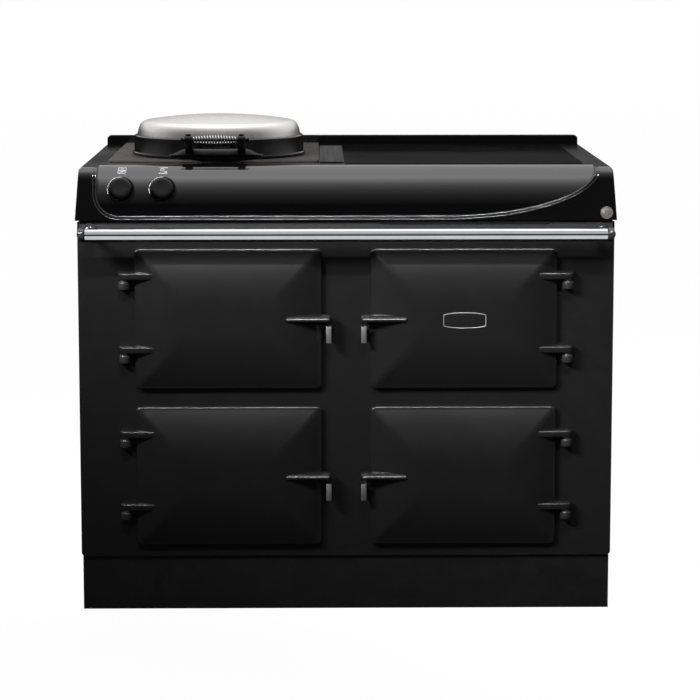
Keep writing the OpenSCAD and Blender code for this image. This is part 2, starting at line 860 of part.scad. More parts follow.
module top_casting() {
    color("#0d0d0e") framed() difference() {
        intersection() {
            union() {
                across(-body_w, body_w)
                    end_outline(0);
                intersection() {
                    across(-body_w, body_w)
                        end_outline(bead_t);
                    upright(-lip_front - 10, fascia_y)
                        difference() {
                            fascia_outline(bead_w);
                            fascia_outline(0);
                        }
                    span([-body_w, -body_depth, 0], [body_w, body_depth, hob_z]);
                }
            }
            upright(-lip_front - 10, body_depth)
                intersection() {
                    front_outline();
                    translate([-body_w, 0])
                        square([2 * body_w, hob_z]);
                }
        }
        fascia_cut();
        casting_hollow();
        translate([lid_x, lid_y, deck_z - 1])
            cylinder(r = surround_hole_r + housing_wall, h = casting_wall + 2, $fn = 96);
        glass_block(0, hob_z + glass_up - glass_t, hob_z + 1);
        glass_block(ledge_w, deck_z - 1, hob_z + 1);
        upright(notch_y, fascia_y + 20)
            translate([lid_x, hob_z])
                polygon([[-notch_w / 2 - notch_t, 1], [notch_t - notch_w / 2, -notch_t],
                    [notch_w / 2 - notch_t, -notch_t], [notch_w / 2 + notch_t, 1]]);
        for (x = [knob_x, knob_x + knob_pitch])
            on_fascia(x)
                translate([0, 0, -bezel_sink - bezel_t - fascia_r / 4])
                    cylinder(r = bezel_r, h = bezel_sink + bezel_t + fascia_r / 4 + knob_h);
    }
}

// The glass's own footprint, drawn in by inset, between two levels
module glass_block(inset, z0, z1) {
    translate([glass_x + glass_w / 2, glass_y + glass_d / 2, z0])
        linear_extrude(z1 - z0)
            round_rect(glass_w - 2 * inset, glass_d - 2 * inset, glass_corner);
}

module medallion() {
    up = medal_up;
    color("#999994") framed()
        translate([body_w / 2 - medal_in, up * tan(face_lean) - lip_front, lip_z + up])
            rotate([90 - face_lean, 0, 0]) {
                cylinder(r = medal_r, h = medal_t - 1);
                cylinder(r = medal_r - 3, h = medal_t);
            }
}

module rear_rail() {
    front = body_depth - rear_t;
    color("#0a0a0b") framed() difference() {
        upright(front, body_depth)
            translate([0, hob_z])
                intersection() {
                    round_rect(2 * rear_half, 2 * rear_h, rear_corner);
                    translate([-rear_half, 0])
                        square([2 * rear_half, rear_h]);
                }
        for (i = [1, 2])
            span([-rear_half - 1, front - 1, hob_z + i * rear_h / 3 - groove_h / 2],
                [rear_half + 1, front + groove_t, hob_z + i * rear_h / 3 + groove_h / 2]);
    }
}

module hotplate_surround() {
    color("#544c4a") framed() difference() {
        translate([surround_x + surround_w / 2, surround_y + surround_d / 2, hob_z])
            linear_extrude(surround_t)
                round_rect(surround_w, surround_d, surround_corner);
        translate([lid_x, lid_y, hob_z - 1])
            cylinder(r = surround_hole_r, h = surround_t + 2, $fn = 96);
    }
}

module hotplate() {
    top = surround_z - hotplate_sink;
    color("#404042") framed()
        translate([lid_x, lid_y, top - hotplate_t]) {
            cylinder(r = hotplate_r, h = hotplate_t - 2, $fn = 96);
            translate([0, 0, hotplate_t - 2])
                cylinder(r1 = hotplate_r, r2 = hotplate_r - 2, h = 2, $fn = 96);
        }
}

module hotplate_element() {
    color("#804c33") framed()
        translate([lid_x, lid_y, heater_z])
            difference() {
                cylinder(r = hotplate_r - 12, h = heater_t, $fn = 96);
                translate([0, 0, -1])
                    cylinder(r = pillar_r / 2, h = heater_t + 2);
            }
}

module hotplate_housing() {
    color("#999999") framed()
        translate([lid_x, lid_y, housing_z]) {
            difference() {
                cylinder(r = surround_hole_r + housing_wall, h = housing_d, $fn = 96);
                translate([0, 0, housing_wall])
                    cylinder(r = surround_hole_r, h = housing_d, $fn = 96);
            }
            cylinder(r = pillar_r, h = heater_z - housing_z);
        }
}

module infill_strip() {
    color("#66666b") framed()
        span([strip_x, strip_y, hob_z], [strip_x + strip_w, strip_y + strip_d, hob_z + strip_t]);
}

module ceramic_glass() {
    color("#050506") framed()
        glass_block(pass_gap, hob_z + glass_up - glass_t, hob_z + glass_up);
}

module induction_unit() {
    color("#99999e") framed() {
        glass_block(ledge_w + 2, deck_z - unit_h, deck_z);
        glass_block(ledge_w - 8, deck_z - 3, deck_z);
    }
}

module induction_coils() {
    color("#b26b40") framed()
        for (spot = [[-coil_side, -coil_fore, coil_big_r], [-coil_side, coil_fore, coil_small_r],
            [coil_side, 0, coil_big_r]])
            translate([glass_x + glass_w / 2 + spot[0], glass_y + glass_d / 2 + spot[1], deck_z])
                difference() {
                    cylinder(r = spot[2], h = coil_disc_t);
                    translate([0, 0, -1])
                        cylinder(r = coil_hole_r, h = coil_disc_t + 2);
                }
}

// One oven: a box open at the front, with a flange behind the front plate and two pairs of runners
module oven_box() {
    w = oven_w / 2;
    h = oven_h / 2;
    back = plate_t + oven_d;
    difference() {
        union() {
            span([-w - oven_wall, plate_t, -h - oven_wall], [w + oven_wall, back + oven_wall, h + oven_wall]);
            span([-w - oven_flange, plate_t, -h - oven_flange],
                [w + oven_flange, plate_t + flange_t, h + oven_flange]);
        }
        span([-w, plate_t - 1, -h], [w, back, h]);
    }
    for (sx = [-1, 1], z = [-runner_low, runner_high])
        translate([sx * (w - runner_w / 2), plate_t + 20, z])
            translate([-runner_w / 2, 0, 0])
                cube([runner_w, oven_d - 40, runner_h]);
}

module oven_at(side, z) {
    color("#333336") framed()
        at_door(side, z)
            oven_box();
}

module upper_left_oven() {
    oven_at(-1, upper_z);
}

module upper_right_oven() {
    oven_at(1, upper_z);
}

module lower_left_oven() {
    oven_at(-1, lower_z);
}

module lower_right_oven() {
    oven_at(1, lower_z);
}

// A wire shelf on the lower runners: side rods, thinner end rods and cross bars laid over them
module oven_shelves() {
    half = shelf_w / 2 - shelf_rod_r;
    end_rod_r = shelf_rod_r * 0.85;
    y0 = plate_t + 30;
    y1 = y0 + shelf_d;
    step = (2 * half) / (shelf_bars + 1);
    color("silver") framed()
        at_each_door() {
            for (sx = [-1, 1])
                translate([sx * half, y0, shelf_z])
                    rotate([-90, 0, 0])
                        cylinder(r = shelf_rod_r, h = shelf_d);
            for (y = [y0 + shelf_rod_r, y1 - shelf_rod_r])
                translate([-half, y, shelf_z])
                    rotate([0, 90, 0])
                        cylinder(r = end_rod_r, h = 2 * half);
            for (i = [1 : shelf_bars])
                translate([i * step - half, y0 + shelf_bar_r, shelf_z + shelf_rod_r / 2])
                    rotate([-90, 0, 0])
                        cylinder(r = shelf_bar_r, h = shelf_d - 2 * shelf_bar_r);
        }
}

// A hairpin element under each oven's roof, held by the oven's back wall
module oven_elements() {
    back = plate_t + oven_d;
    bend_y = plate_t + 60 + element_w / 2;
    color("#594c47") framed()
        at_each_door()
            translate([0, 0, oven_h / 2 - element_drop]) {
                for (sx = [-1, 1])
                    translate([sx * element_w / 2, bend_y, 0])
                        rotate([-90, 0, 0])
                            cylinder(r = element_r, h = back - bend_y);
                translate([0, bend_y, 0])
                    rotate([0, 0, 180])
                        rotate_extrude(angle = 180)
                            translate([element_w / 2, 0])
                                circle(element_r);
            }
}

// Mineral wool packed round the four ovens
module oven_insulation() {
    half = side_x - angle_w - 2;
    low = lower_z - oven_h / 2 - oven_wall - wrap_t;
    high = upper_z + oven_h / 2 + oven_wall + wrap_t;
    front = plate_t + flange_t;
    back = plate_t + oven_d + oven_wall;
    w = oven_w / 2 + oven_wall;
    h = oven_h / 2 + oven_wall;
    color("#ccbf8c") framed() difference() {
        span([-half, front, low], [half, back + wrap_t, high]);
        at_each_door()
            span([-w, front - 1, -h], [w, back, h]);
    }
}

module handrail() {
    color("#d9d9de") framed()
        translate([-rail_half, -rail_stand, plate_top - rail_drop])
            rotate([0, 90, 0])
                difference() {
                    cylinder(r = rail_r, h = 2 * rail_half);
                    translate([0, 0, -1])
                        cylinder(r = rail_r - rail_wall, h = 2 * rail_half + 2);
                }
}

// End cap, spigot, arm and foot boss at each end of the handrail
module handrail_brackets() {
    color("#0f0f0f") framed()
        for (side = [0, 1])
            mirror([side, 0, 0])
                translate([-rail_half, 0, plate_top - rail_drop]) {
                    translate([-rail_cap_w, -rail_stand, 0])
                        rotate([0, 90, 0]) {
                            cylinder(r = rail_cap_r, h = rail_cap_w);
                            cylinder(r = rail_r - rail_wall - run_fit, h = rail_cap_w + spigot_l);
                        }
                    translate([rail_boss_in, -trim_t, 0])
                        rotate([90, 0, 0])
                            cylinder(r1 = rail_boss_r, r2 = rail_boss_r - 3, h = rail_boss_t);
                    difference() {
                        hull() {
                            translate([rail_boss_in, -trim_t - rail_boss_t / 2, 0])
                                sphere(rail_arm_r, $fn = 32);
                            translate([-rail_cap_w / 2, -rail_stand, 0])
                                sphere(rail_arm_r, $fn = 32);
                        }
                        translate([-spigot_l, -rail_stand - rail_r, -rail_r])
                            translate([spigot_l, 0, 0])
                                cube([2 * spigot_l, 2 * rail_r + 1, 2 * rail_r]);
                        span([-20, -trim_t, -40], [40, 40, 40]);
                    }
                }
}

// A pair of heights, measured from the door's middle
function lug_levels() = [door_h / 2 - upper_lug_drop, lower_lug_rise - door_h / 2];

// A fixed eye below each lug, with its arm back to the front plate
module hinge_brackets() {
    color("#121212") framed()
        at_each_door()
            for (z = lug_levels())
                translate([hinge_x, -hinge_forward, z + pin_bottom])
                    difference() {
                        union() {
                            cylinder(r = eye_r, h = bracket_h);
                            translate([-eye_r, 0, 0])
                                cube([2 * eye_r, hinge_forward, bracket_h]);
                        }
                        translate([0, 0, -1])
                            cylinder(r = pin_r + run_fit, h = bracket_h + 2);
                    }
}

// Each pin stands in its bracket on a collar, and the door's lug drops over it
module hinge_pins() {
    color("silver") framed()
        at_each_door()
            for (z = lug_levels())
                translate([hinge_x, -hinge_forward, z + pin_bottom]) {
                    cylinder(r = pin_r, h = bracket_h + hinge_gap + lug_h - lug_slope);
                    translate([0, 0, bracket_h])
                        cylinder(r = collar_r, h = hinge_gap - door_gap);
                }
}

// A bare bar on a short stem, fixed to the front plate under each handle lug
module door_catches() {
    x = door_w / 2 + catch_clear;
    top = -handle_down - catch_gap;
    color("#808080") framed()
        at_each_door() {
            span([x, -catch_front, top - catch_h], [x + catch_w, catch_t - catch_front, top]);
            span([x + 1, catch_t - catch_front, top - catch_h + 6], [x + catch_w - 1, 0, top - 6]);
        }
}

// A lug that carries one hinge eye, with a top that slopes down to the front
module hinge_lug(z) {
    reach = hinge_out + lug_run;
    front = -eye_r;
    translate([hinge_x, -hinge_forward, z - lug_h / 2])
        difference() {
            linear_extrude(lug_h) {
                circle(eye_r);
                polygon([[0, front], [reach, front], [reach, 0], [hinge_out, eye_r], [0, eye_r]]);
            }
            translate([-eye_r - 1, eye_r, lug_h])
                rotate([atan(lug_slope / (2 * eye_r)), 0, 0])
                    translate([0, -3 * eye_r, 0])
                        cube([reach + 2 * eye_r, 3 * eye_r, lug_h]);
        }
}

// The wedge that the hand pulls, level with the raised panel and reaching past the free edge
module handle_lug() {
    edge = door_w / 2;
    tip = edge + handle_reach;
    depth = door_front - handle_space;
    height = handle_up + handle_down;
    translate([0, 0, -handle_down])
        difference() {
            linear_extrude(height) {
                polygon([[edge - handle_run, -door_front], [tip - handle_round, -door_front],
                    [tip - handle_round, handle_round - door_front], [tip, handle_round - door_front],
                    [tip, -handle_space], [edge - 2, -handle_space], [edge - handle_run, 1 - door_edge]]);
                translate([tip - handle_round, handle_round - door_front])
                    circle(handle_round);
            }
            translate([edge - handle_run - 1, -handle_space, height])
                rotate([atan(handle_slope / depth), 0, 0])
                    translate([0, -2 * depth, 0])
                        cube([handle_run + handle_reach + 2, 2 * depth, height]);
        }
}

// The whole door's rounded pyramid, drawn in by wall on every side
module door_mass(wall, back) {
    round_in = door_edge_round + wall;
    hull() {
        upright(door_edge_round + wall - door_edge, back)
            round_rect(door_w - 2 * wall, door_h - 2 * wall, door_corner - wall / 2);
        upright(wall - door_edge, wall - door_edge + skin)
            round_rect(door_w - 2 * round_in, door_h - 2 * round_in, door_corner - wall / 2);
        upright(wall - door_front, wall - door_front + skin)
            round_rect(panel_w, panel_h, panel_corner);
    }
}

// One door casting: hollow at the back, with two hinge lugs, a handle lug and four bosses
module door_casting() {
    difference() {
        union() {
            difference() {
                door_mass(0, -door_gap);
                door_mass(door_wall, 1);
            }
            for (z = lug_levels())
                hinge_lug(z);
            handle_lug();
            for (sx = [-1, 1], sz = [-1, 1])
                translate([sx * (door_w / 2 - boss_inset), 0, sz * (door_h / 2 - boss_inset)])
                    upright(-door_edge - 6, -door_gap - liner_t)
                        circle(boss_r);
        }
        for (z = lug_levels())
            translate([hinge_x, -hinge_forward, z - lug_h])
                cylinder(r = pin_r + run_fit, h = 2 * lug_h);
    }
}

module door_at(side, z) {
    color("#0b0b0d") framed()
        at_door(side, z)
            door_casting();
}

module upper_left_door() {
    door_at(-1, upper_z);
}

module upper_right_door() {
    door_at(1, upper_z);
}

module lower_left_door() {
    door_at(-1, lower_z);
}

module lower_right_door() {
    door_at(1, lower_z);
}

// A sheet pan: a flange inside the casting's rim and a hollow plug that fills the oven mouth
module door_liner() {
    rim = door_wall + liner_play;
    difference() {
        union() {
            upright(-door_gap - liner_t, -door_gap)
                round_rect(door_w - 2 * rim, door_h - 2 * rim, door_corner - door_wall / 2);
            upright(-door_gap, plug_depth)
                round_rect(plug_w, plug_h, mouth_corner - plug_clear);
        }
        upright(-door_gap - liner_t - 1, plug_depth - liner_t)
            round_rect(plug_w - 2 * liner_t, plug_h - 2 * liner_t, mouth_corner - plug_clear - liner_t);
    }
}

module liner_at(side, z) {
    color("#99999e") framed()
        at_door(side, z)
            door_liner();
}

module upper_left_liner() {
    liner_at(-1, upper_z);
}

module upper_right_liner() {
    liner_at(1, upper_z);
}

module lower_left_liner() {
    liner_at(-1, lower_z);
}

module lower_right_liner() {
    liner_at(1, lower_z);
}

module badge_plate() {
    color("#b2b2b2") framed()
        translate([door_x, 0, upper_z])
            upright(-door_front - badge_t, -door_front) {
                square([badge_w - badge_h, badge_h], center = true);
                for (sx = [-1, 1])
                    translate([sx * (badge_w - badge_h) / 2, 0])
                        circle(badge_h / 2);
            }
}

// The ring let into the fascia round each knob
module knob_bezels() {
    color("#1a1a1a") framed()
        for (x = [knob_x, knob_x + knob_pitch])
            on_fascia(x)
                translate([0, 0, -bezel_sink - bezel_t])
                    difference() {
                        cylinder(r = bezel_r, h = bezel_t);
                        translate([0, 0, -1])
                            cylinder(r = spindle_r + run_fit, h = bezel_t + 2);
                    }
}

module control_switches() {
    color("#bfb8a6") framed()
        for (x = [knob_x, knob_x + knob_pitch])
            on_fascia(x)
                translate([0, 0, -bezel_sink - bezel_t - switch_l])
                    difference() {
                        cylinder(r = switch_r, h = switch_l);
                        translate([0, 0, bezel_t + switch_l - spindle_l - pass_gap])
                            cylinder(r = spindle_r + run_fit, h = spindle_l);
                    }
}

// A round knob with a domed edge and a small pointer at nine o'clock
module knob(x) {
    color("#0d0d0d") framed()
        on_fascia(x)
            translate([0, 0, pass_gap - bezel_sink])
                difference() {
                    union() {
                        cylinder(r = knob_r, h = knob_h - 4);
                        translate([0, 0, knob_h - 4])
                            cylinder(r1 = knob_r, r2 = knob_r - 4, h = 4);
                        translate([-knob_r - pointer_l, -2, 0])
                            cube([knob_r, 4, 4]);
                    }
                    translate([0, 0, -1])
                        cylinder(r = spindle_r + run_fit, h = 9);
                }
}

module left_knob() {
    knob(knob_x);
}

module right_knob() {
    knob(knob_x + knob_pitch);
}

// The steel spindle that the knob is pushed on to
module spindle(x) {
    color("silver") framed()
        on_fascia(x)
            translate([0, 0, -bezel_sink - spindle_l])
                cylinder(r = spindle_r, h = spindle_l + 8 + pass_gap);
}

module left_spindle() {
    spindle(knob_x);
}

module right_spindle() {
    spindle(knob_x + knob_pitch);
}

// The lid's dome seen in section, drawn in by inset
module dome_section(inset) {
    wall = dome_r - inset;
    shoulder = dome_r - shoulder_r;
    shoulder_z = dome_top - crown_h - shoulder_r;
    intersection() {
        union() {
            square([wall, shoulder_z]);
            square([shoulder, dome_top]);
            translate([shoulder, shoulder_z])
                circle(shoulder_r - inset);
        }
        translate([0, dome_top - crown_r])
            circle(crown_r - inset, $fn = 360);
        square([dome_r, dome_top]);
    }
}

module lid_dome() {
    color("#d9d9db") framed()
        translate([lid_x, lid_y, 0])
            rotate_extrude($fn = 96)
                difference() {
                    dome_section(0);
                    dome_section(lid_sheet);
                    square([dome_r, band_top]);
                }
}

// The lid's lower wall, with a bead at its foot and a ledge that carries the dome
module lid_band() {
    inner = band_r - band_t;
    color("#1f1f21") framed()
        translate([lid_x, lid_y, 0])
            rotate_extrude($fn = 96)
                polygon([[inner, lid_z], [lid_foot_r - 2, lid_z], [lid_foot_r, lid_z + 2],
                    [lid_foot_r, lid_z + lid_foot_h - 2], [lid_foot_r - 2, lid_z + lid_foot_h],
                    [band_r, lid_z + lid_foot_h], [band_r, band_top],
                    [dome_r - 3 * lid_sheet, band_top], [dome_r - 3 * lid_sheet, band_top - band_t],
                    [inner, band_top - band_t]]);
}

// The closed pan under the lid that keeps the heat in
module lid_liner() {
    outer = dome_r - lid_sheet;
    inner = outer - lid_sheet;
    floor_z = lid_z + lid_sheet;
    color("#b2b2b8") framed()
        translate([lid_x, lid_y, 0])
            rotate_extrude($fn = 96)
                polygon([[0, lid_z], [band_r - band_t, lid_z], [band_r - band_t, floor_z], [outer, floor_z],
                    [outer, band_top - band_t], [inner, band_top - band_t], [inner, floor_z], [0, floor_z]]);
}

// Two arms from the lid's band back to the hinge pin
module lid_hinge_arms() {
    reach = lid_hinge_back - band_r + 12;
    color("#1a1a1a") framed()
        difference() {
            for (sx = [-1, 1])
                translate([lid_x + sx * lid_arm_x, lid_axis_y, lid_axis_z])
                    across(-lid_arm_w / 2, lid_arm_w / 2) {
                        circle(lid_eye_r);
                        polygon([[-reach, 0], [0, -2], [0, lid_eye_r], [-reach, lid_eye_r]]);
                    }
            translate([lid_x, lid_y, lid_z])
                cylinder(r = band_r, h = band_h, $fn = 96);
            translate([lid_x - 2 * lid_arm_x, lid_axis_y, lid_axis_z])
                rotate([0, 90, 0])
                    cylinder(r = lid_pin_r + run_fit, h = 4 * lid_arm_x);
        }
}

// The bracket that stands on the surround: a base and an ear outside each arm
module lid_hinge_bracket() {
    ear_x = lid_arm_x + lid_arm_w / 2 + ear_gap;
    outer = ear_x + ear_w;
    color("#1a1a1a") framed()
        translate([lid_x, lid_axis_y, 0])
            difference() {
                union() {
                    span([-outer, -lid_eye_r - 2, surround_z],
                        [outer, lid_eye_r + 10, surround_z + ear_base_t]);
                    for (sx = [-1, 1])
                        translate([sx * (ear_x + ear_w / 2), 0, 0])
                            across(-ear_w / 2, ear_w / 2) {
                                translate([0, lid_axis_z])
                                    circle(lid_eye_r);
                                translate([-lid_eye_r, surround_z])
                                    square([2 * lid_eye_r, lid_hinge_up]);
                            }
                }
                translate([-outer - 1, 0, lid_axis_z])
                    rotate([0, 90, 0])
                        cylinder(r = lid_pin_r + run_fit, h = 2 * outer + 2);
            }
}

module lid_hinge_pin() {
    outer = lid_arm_x + lid_arm_w / 2 + ear_gap + ear_w;
    color("silver") framed()
        translate([lid_x - outer, lid_axis_y, lid_axis_z])
            rotate([0, 90, 0]) {
                cylinder(r = lid_pin_r, h = 2 * outer);
                translate([0, 0, -2])
                    cylinder(r = lid_pin_r + 2, h = 2);
                translate([0, 0, 2 * outer])
                    cylinder(r = lid_pin_r + 2, h = 2);
            }
}

// The handle's foot follows the lid's band, and an arm rises from it to each clamp
module handle_saddle() {
    color("#0a0a0a") framed()
        difference() {
            union() {
                translate([lid_x, lid_y, saddle_z])
                    rotate([0, 0, -90 - saddle_half])
                        rotate_extrude(angle = 2 * saddle_half, $fn = 96)
                            translate([band_r, 0])
                                polygon([[-1, 0], [saddle_t * 0.6, 0], [saddle_t, saddle_h * 0.3],
                                    [saddle_t * 0.7, saddle_h], [-1, saddle_h]]);
                for (sx = [-1, 1])
                    translate([lid_x + sx * clamp_x, 0, 0])
                        handle_arm();
            }
            translate([lid_x, lid_y, 0])
                cylinder(r = band_r, h = dome_top, $fn = 96);
            translate(grip_at - [rod_half, 0, 0])
                rotate([0, 90, 0])
                    cylinder(r = rod_r + run_fit, h = 2 * rod_half);
        }
}

// One arm of the handle, from 1 mm above the curved foot up to the round clamp
module handle_arm() {
    foot_y = lid_y - sqrt(pow(band_r, 2) - pow(clamp_x, 2));
    root_z = saddle_z + 1;
    hull() {
        translate([-clamp_w / 2, grip_at[1], grip_at[2]])
            rotate([0, 90, 0])
                cylinder(r = clamp_r, h = clamp_w, $fn = 32);
        span([-clamp_w / 2, foot_y - saddle_t * 0.55, root_z],
            [clamp_w / 2, foot_y, root_z + saddle_h]);
    }
}

module handle_rod() {
    color("silver") framed()
        translate(grip_at - [rod_half, 0, 0])
            rotate([0, 90, 0]) {
                cylinder(r = rod_r, h = 2 * rod_half);
                cylinder(r = nut_r, h = nut_l);
                translate([0, 0, 2 * rod_half - nut_l])
                    cylinder(r = nut_r, h = nut_l);
            }
}

// The winding's centre line: straight along x at both ends, and wound round the rod between them
wound_sides = 6;
rings_per_turn = 8;
wound_steps = wound_turns * rings_per_turn;
wound_lead = 2.2 * wire_r;
wound_run = 2 * (wound_half - wound_lead);

// Radius of the centre line at a share u of the winding's length
function wound_r(u) = wound_end_r - wire_r + (wound_mid_r - wound_end_r) * sin(180 * u);

function wound_point(i) = [wound_run * i / wound_steps - wound_run / 2,
    wound_r(i / wound_steps) * cos(360 * i / rings_per_turn),
    wound_r(i / wound_steps) * sin(360 * i / rings_per_turn)];

wound_path = concat([[-wound_half, wound_r(0), 0]], [for (i = [0 : wound_steps]) wound_point(i)],
    [[wound_half, wound_r(1), 0]]);

function unit(v) = v / norm(v);

// Direction of the wire at point i of a path
function wire_way(path, i) = let (last = len(path) - 1)
    i == 0 || i == last ? [1, 0, 0] : unit(unit(path[i + 1] - path[i]) + unit(path[i] - path[i - 1]));

// One ring of the wire's six corners round point i
function wire_ring(path, i) = let (way = wire_way(path, i), out = unit([0, path[i][1], path[i][2]]),
    up = unit(cross(way, out)), over = cross(up, way))
    [for (k = [0 : wound_sides - 1])
        path[i] + wire_r * (cos(360 * k / wound_sides) * over + sin(360 * k / wound_sides) * up)];

wound_gap = min([for (i = [0 : len(wound_path) - 1], j = [i + rings_per_turn / 2 : 1 : len(wound_path) - 1])
    norm(wound_path[i] - wound_path[j])]) - 2 * wire_r;
echo(wound_grip_least_gap_mm = wound_gap);

// The bright wire wound round the handle's rod
module handle_coil() {
    rings = len(wound_path);
    corners = [for (i = [0 : rings - 1]) each wire_ring(wound_path, i)];
    sides = [for (i = [0 : rings - 2], k = [0 : wound_sides - 1], half = [0, 1])
        let (a = i * wound_sides + k, b = i * wound_sides + (k + 1) % wound_sides)
            half == 0 ? [a, b, b + wound_sides] : [a, b + wound_sides, a + wound_sides]];
    first = [for (k = [1 : wound_sides - 2]) [0, k + 1, k]];
    end = (rings - 1) * wound_sides;
    last = [for (k = [1 : wound_sides - 2]) [end, end + k, end + k + 1]];
    color("#e6e6eb") framed()
        translate(grip_at)
            polyhedron(corners, concat(sides, first, last));
}

module terminal_box() {
    x = gland_x - box_w / 2;
    z = plate_z + gland_up - box_w / 2;
    color("#b2b2b2") framed() difference() {
        span([x, back_y - box_d, z], [x + box_w, back_y, z + box_w]);
        span([x + box_wall, back_y - box_d + box_wall, z + box_wall],
            [x + box_w - box_wall, back_y + 1, z + box_w - box_wall]);
    }
}

module cable_gland() {
    color("#1a1a1a") framed()
        translate([gland_x, back_y - 6, plate_z + gland_up])
            rotate([-90, 0, 0])
                difference() {
                    union() {
                        cylinder(r = cable_r + box_wall, h = 6 + back_t + gland_out);
                        translate([0, 0, 6 + back_t])
                            cylinder(r = gland_r, h = gland_out);
                    }
                    translate([0, 0, -1])
                        cylinder(r = cable_r, h = gland_out + back_t + 8);
                }
}

// The ovens' vent, with a collar against the outside of the back panel
module vent_pipe() {
    start = plate_t + oven_d + oven_wall + wrap_t;
    color("#999999") framed()
        translate([vent_x, start, plate_top - vent_drop])
            rotate([-90, 0, 0])
                difference() {
                    union() {
                        cylinder(r = vent_r, h = rear_reach - start);
                        translate([0, 0, body_depth - start])
                            cylinder(r = vent_r + vent_collar, h = vent_collar);
                    }
                    translate([0, 0, -1])
                        cylinder(r = vent_r - vent_wall, h = rear_reach - start + 2);
                }
}

plinth();
levelling_feet();
chassis_frame();
front_plate();
left_side_panel();
right_side_panel();
back_panel();
back_screws();
vent_trim();
top_casting();
medallion();
rear_rail();
hotplate_surround();
hotplate();
hotplate_element();
hotplate_housing();
infill_strip();
ceramic_glass();
induction_unit();
induction_coils();
upper_left_oven();
upper_right_oven();
lower_left_oven();
lower_right_oven();
oven_shelves();
oven_elements();
oven_insulation();
oven_seals();
handrail();
handrail_brackets();
hinge_brackets();
hinge_pins();
door_catches();
knob_bezels();
control_switches();
lid_hinge_bracket();
lid_hinge_pin();
terminal_box();
cable_gland();
vent_pipe();
upper_left_door();
upper_right_door();
lower_left_door();
lower_right_door();
upper_left_liner();
upper_right_liner();
lower_left_liner();
lower_right_liner();
badge_plate();
lid_dome();
lid_band();
lid_liner();
lid_hinge_arms();
handle_saddle();
handle_rod();
handle_coil();
left_knob();
right_knob();
left_spindle();
right_spindle();
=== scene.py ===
"""A cast iron range cooker: four ovens with hinged doors, a lidded hotplate, a glass hob and a handrail."""
import json
import math

import bmesh
import bpy
import numpy as np
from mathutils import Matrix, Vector

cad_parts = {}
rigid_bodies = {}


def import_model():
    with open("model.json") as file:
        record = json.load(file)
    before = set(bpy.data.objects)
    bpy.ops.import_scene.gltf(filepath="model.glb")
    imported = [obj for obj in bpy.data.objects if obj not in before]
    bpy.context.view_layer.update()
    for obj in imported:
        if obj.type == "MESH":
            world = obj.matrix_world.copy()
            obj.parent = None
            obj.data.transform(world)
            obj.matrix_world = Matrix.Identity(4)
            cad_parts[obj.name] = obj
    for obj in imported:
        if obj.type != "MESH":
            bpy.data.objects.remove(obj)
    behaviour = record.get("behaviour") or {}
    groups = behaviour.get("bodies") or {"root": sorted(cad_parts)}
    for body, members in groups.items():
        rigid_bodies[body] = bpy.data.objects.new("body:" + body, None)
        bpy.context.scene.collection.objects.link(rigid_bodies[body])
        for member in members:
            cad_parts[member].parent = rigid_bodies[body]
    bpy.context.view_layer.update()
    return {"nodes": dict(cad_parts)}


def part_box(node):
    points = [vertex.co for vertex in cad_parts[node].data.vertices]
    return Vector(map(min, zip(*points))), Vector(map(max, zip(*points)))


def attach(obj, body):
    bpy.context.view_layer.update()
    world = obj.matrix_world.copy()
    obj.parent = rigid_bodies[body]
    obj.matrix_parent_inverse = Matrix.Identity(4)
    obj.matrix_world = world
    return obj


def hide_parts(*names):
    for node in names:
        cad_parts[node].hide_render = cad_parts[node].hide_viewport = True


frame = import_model()
scene, body = bpy.context.scene, "range_body"

# ---- Camera -------------------------------------------------------------------------------------
# A long lens stands well back at the height of the hob and a little above it, just left of the cooker's
# middle. It looks a little down and to the right, and the frame is shifted to hold the whole cooker.
lens_mm = 128.23
eye = Vector((-0.06, -5.3499, 1.3235))
tilt_down, turn_right = math.radians(7.538), math.radians(0.771)


def put(name, data):
    """A new object of the scene, at the origin."""
    made = bpy.data.objects.new(name, data)
    scene.collection.objects.link(made)
    return made


camera = put("camera", bpy.data.cameras.new("camera"))
camera.data.lens, camera.data.sensor_width, camera.data.shift_y = lens_mm, 36.0, -0.08
camera.data.clip_end = 100.0
camera.location = eye
camera.rotation_euler = (math.pi / 2 - tilt_down, 0.0, -turn_right)
scene.camera = camera
scene.view_settings.view_transform = "Standard"


def add(tree, kind, sockets=None, **settings):
    """One shader or geometry node. A socket takes a number, a colour or another node's output."""
    made = tree.nodes.new(kind)
    for key, value in settings.items():
        setattr(made, key, value)
    for key, value in (sockets or {}).items():
        if isinstance(value, bpy.types.NodeSocket):
            tree.links.new(value, made.inputs[key])
        else:
            made.inputs[key].default_value = value
    return made


def ramp(tree, factor, stops):
    """A colour ramp from (place, grey or colour) stops."""
    made = add(tree, "ShaderNodeValToRGB", {"Fac": factor})
    elements = made.color_ramp.elements
    while len(elements) > 1:
        elements.remove(elements[-1])
    for i, (place, tone) in enumerate(stops):
        element = elements[0] if i == 0 else elements.new(place)
        element.position = place
        element.color = (*tone, 1.0) if isinstance(tone, tuple) else (tone, tone, tone, 1.0)
    return made.outputs["Color"]


def reckon(tree, operation, *values):
    """One step of arithmetic on numbers and other nodes' outputs."""
    return add(tree, "ShaderNodeMath", dict(enumerate(values)), operation=operation).outputs[0]


def seen_directly(tree, ray):
    """1 where a ray comes from the camera or through glass, and 0 elsewhere."""
    return reckon(tree, "MAXIMUM", ray.outputs["Is Camera Ray"], ray.outputs["Is Transmission Ray"])


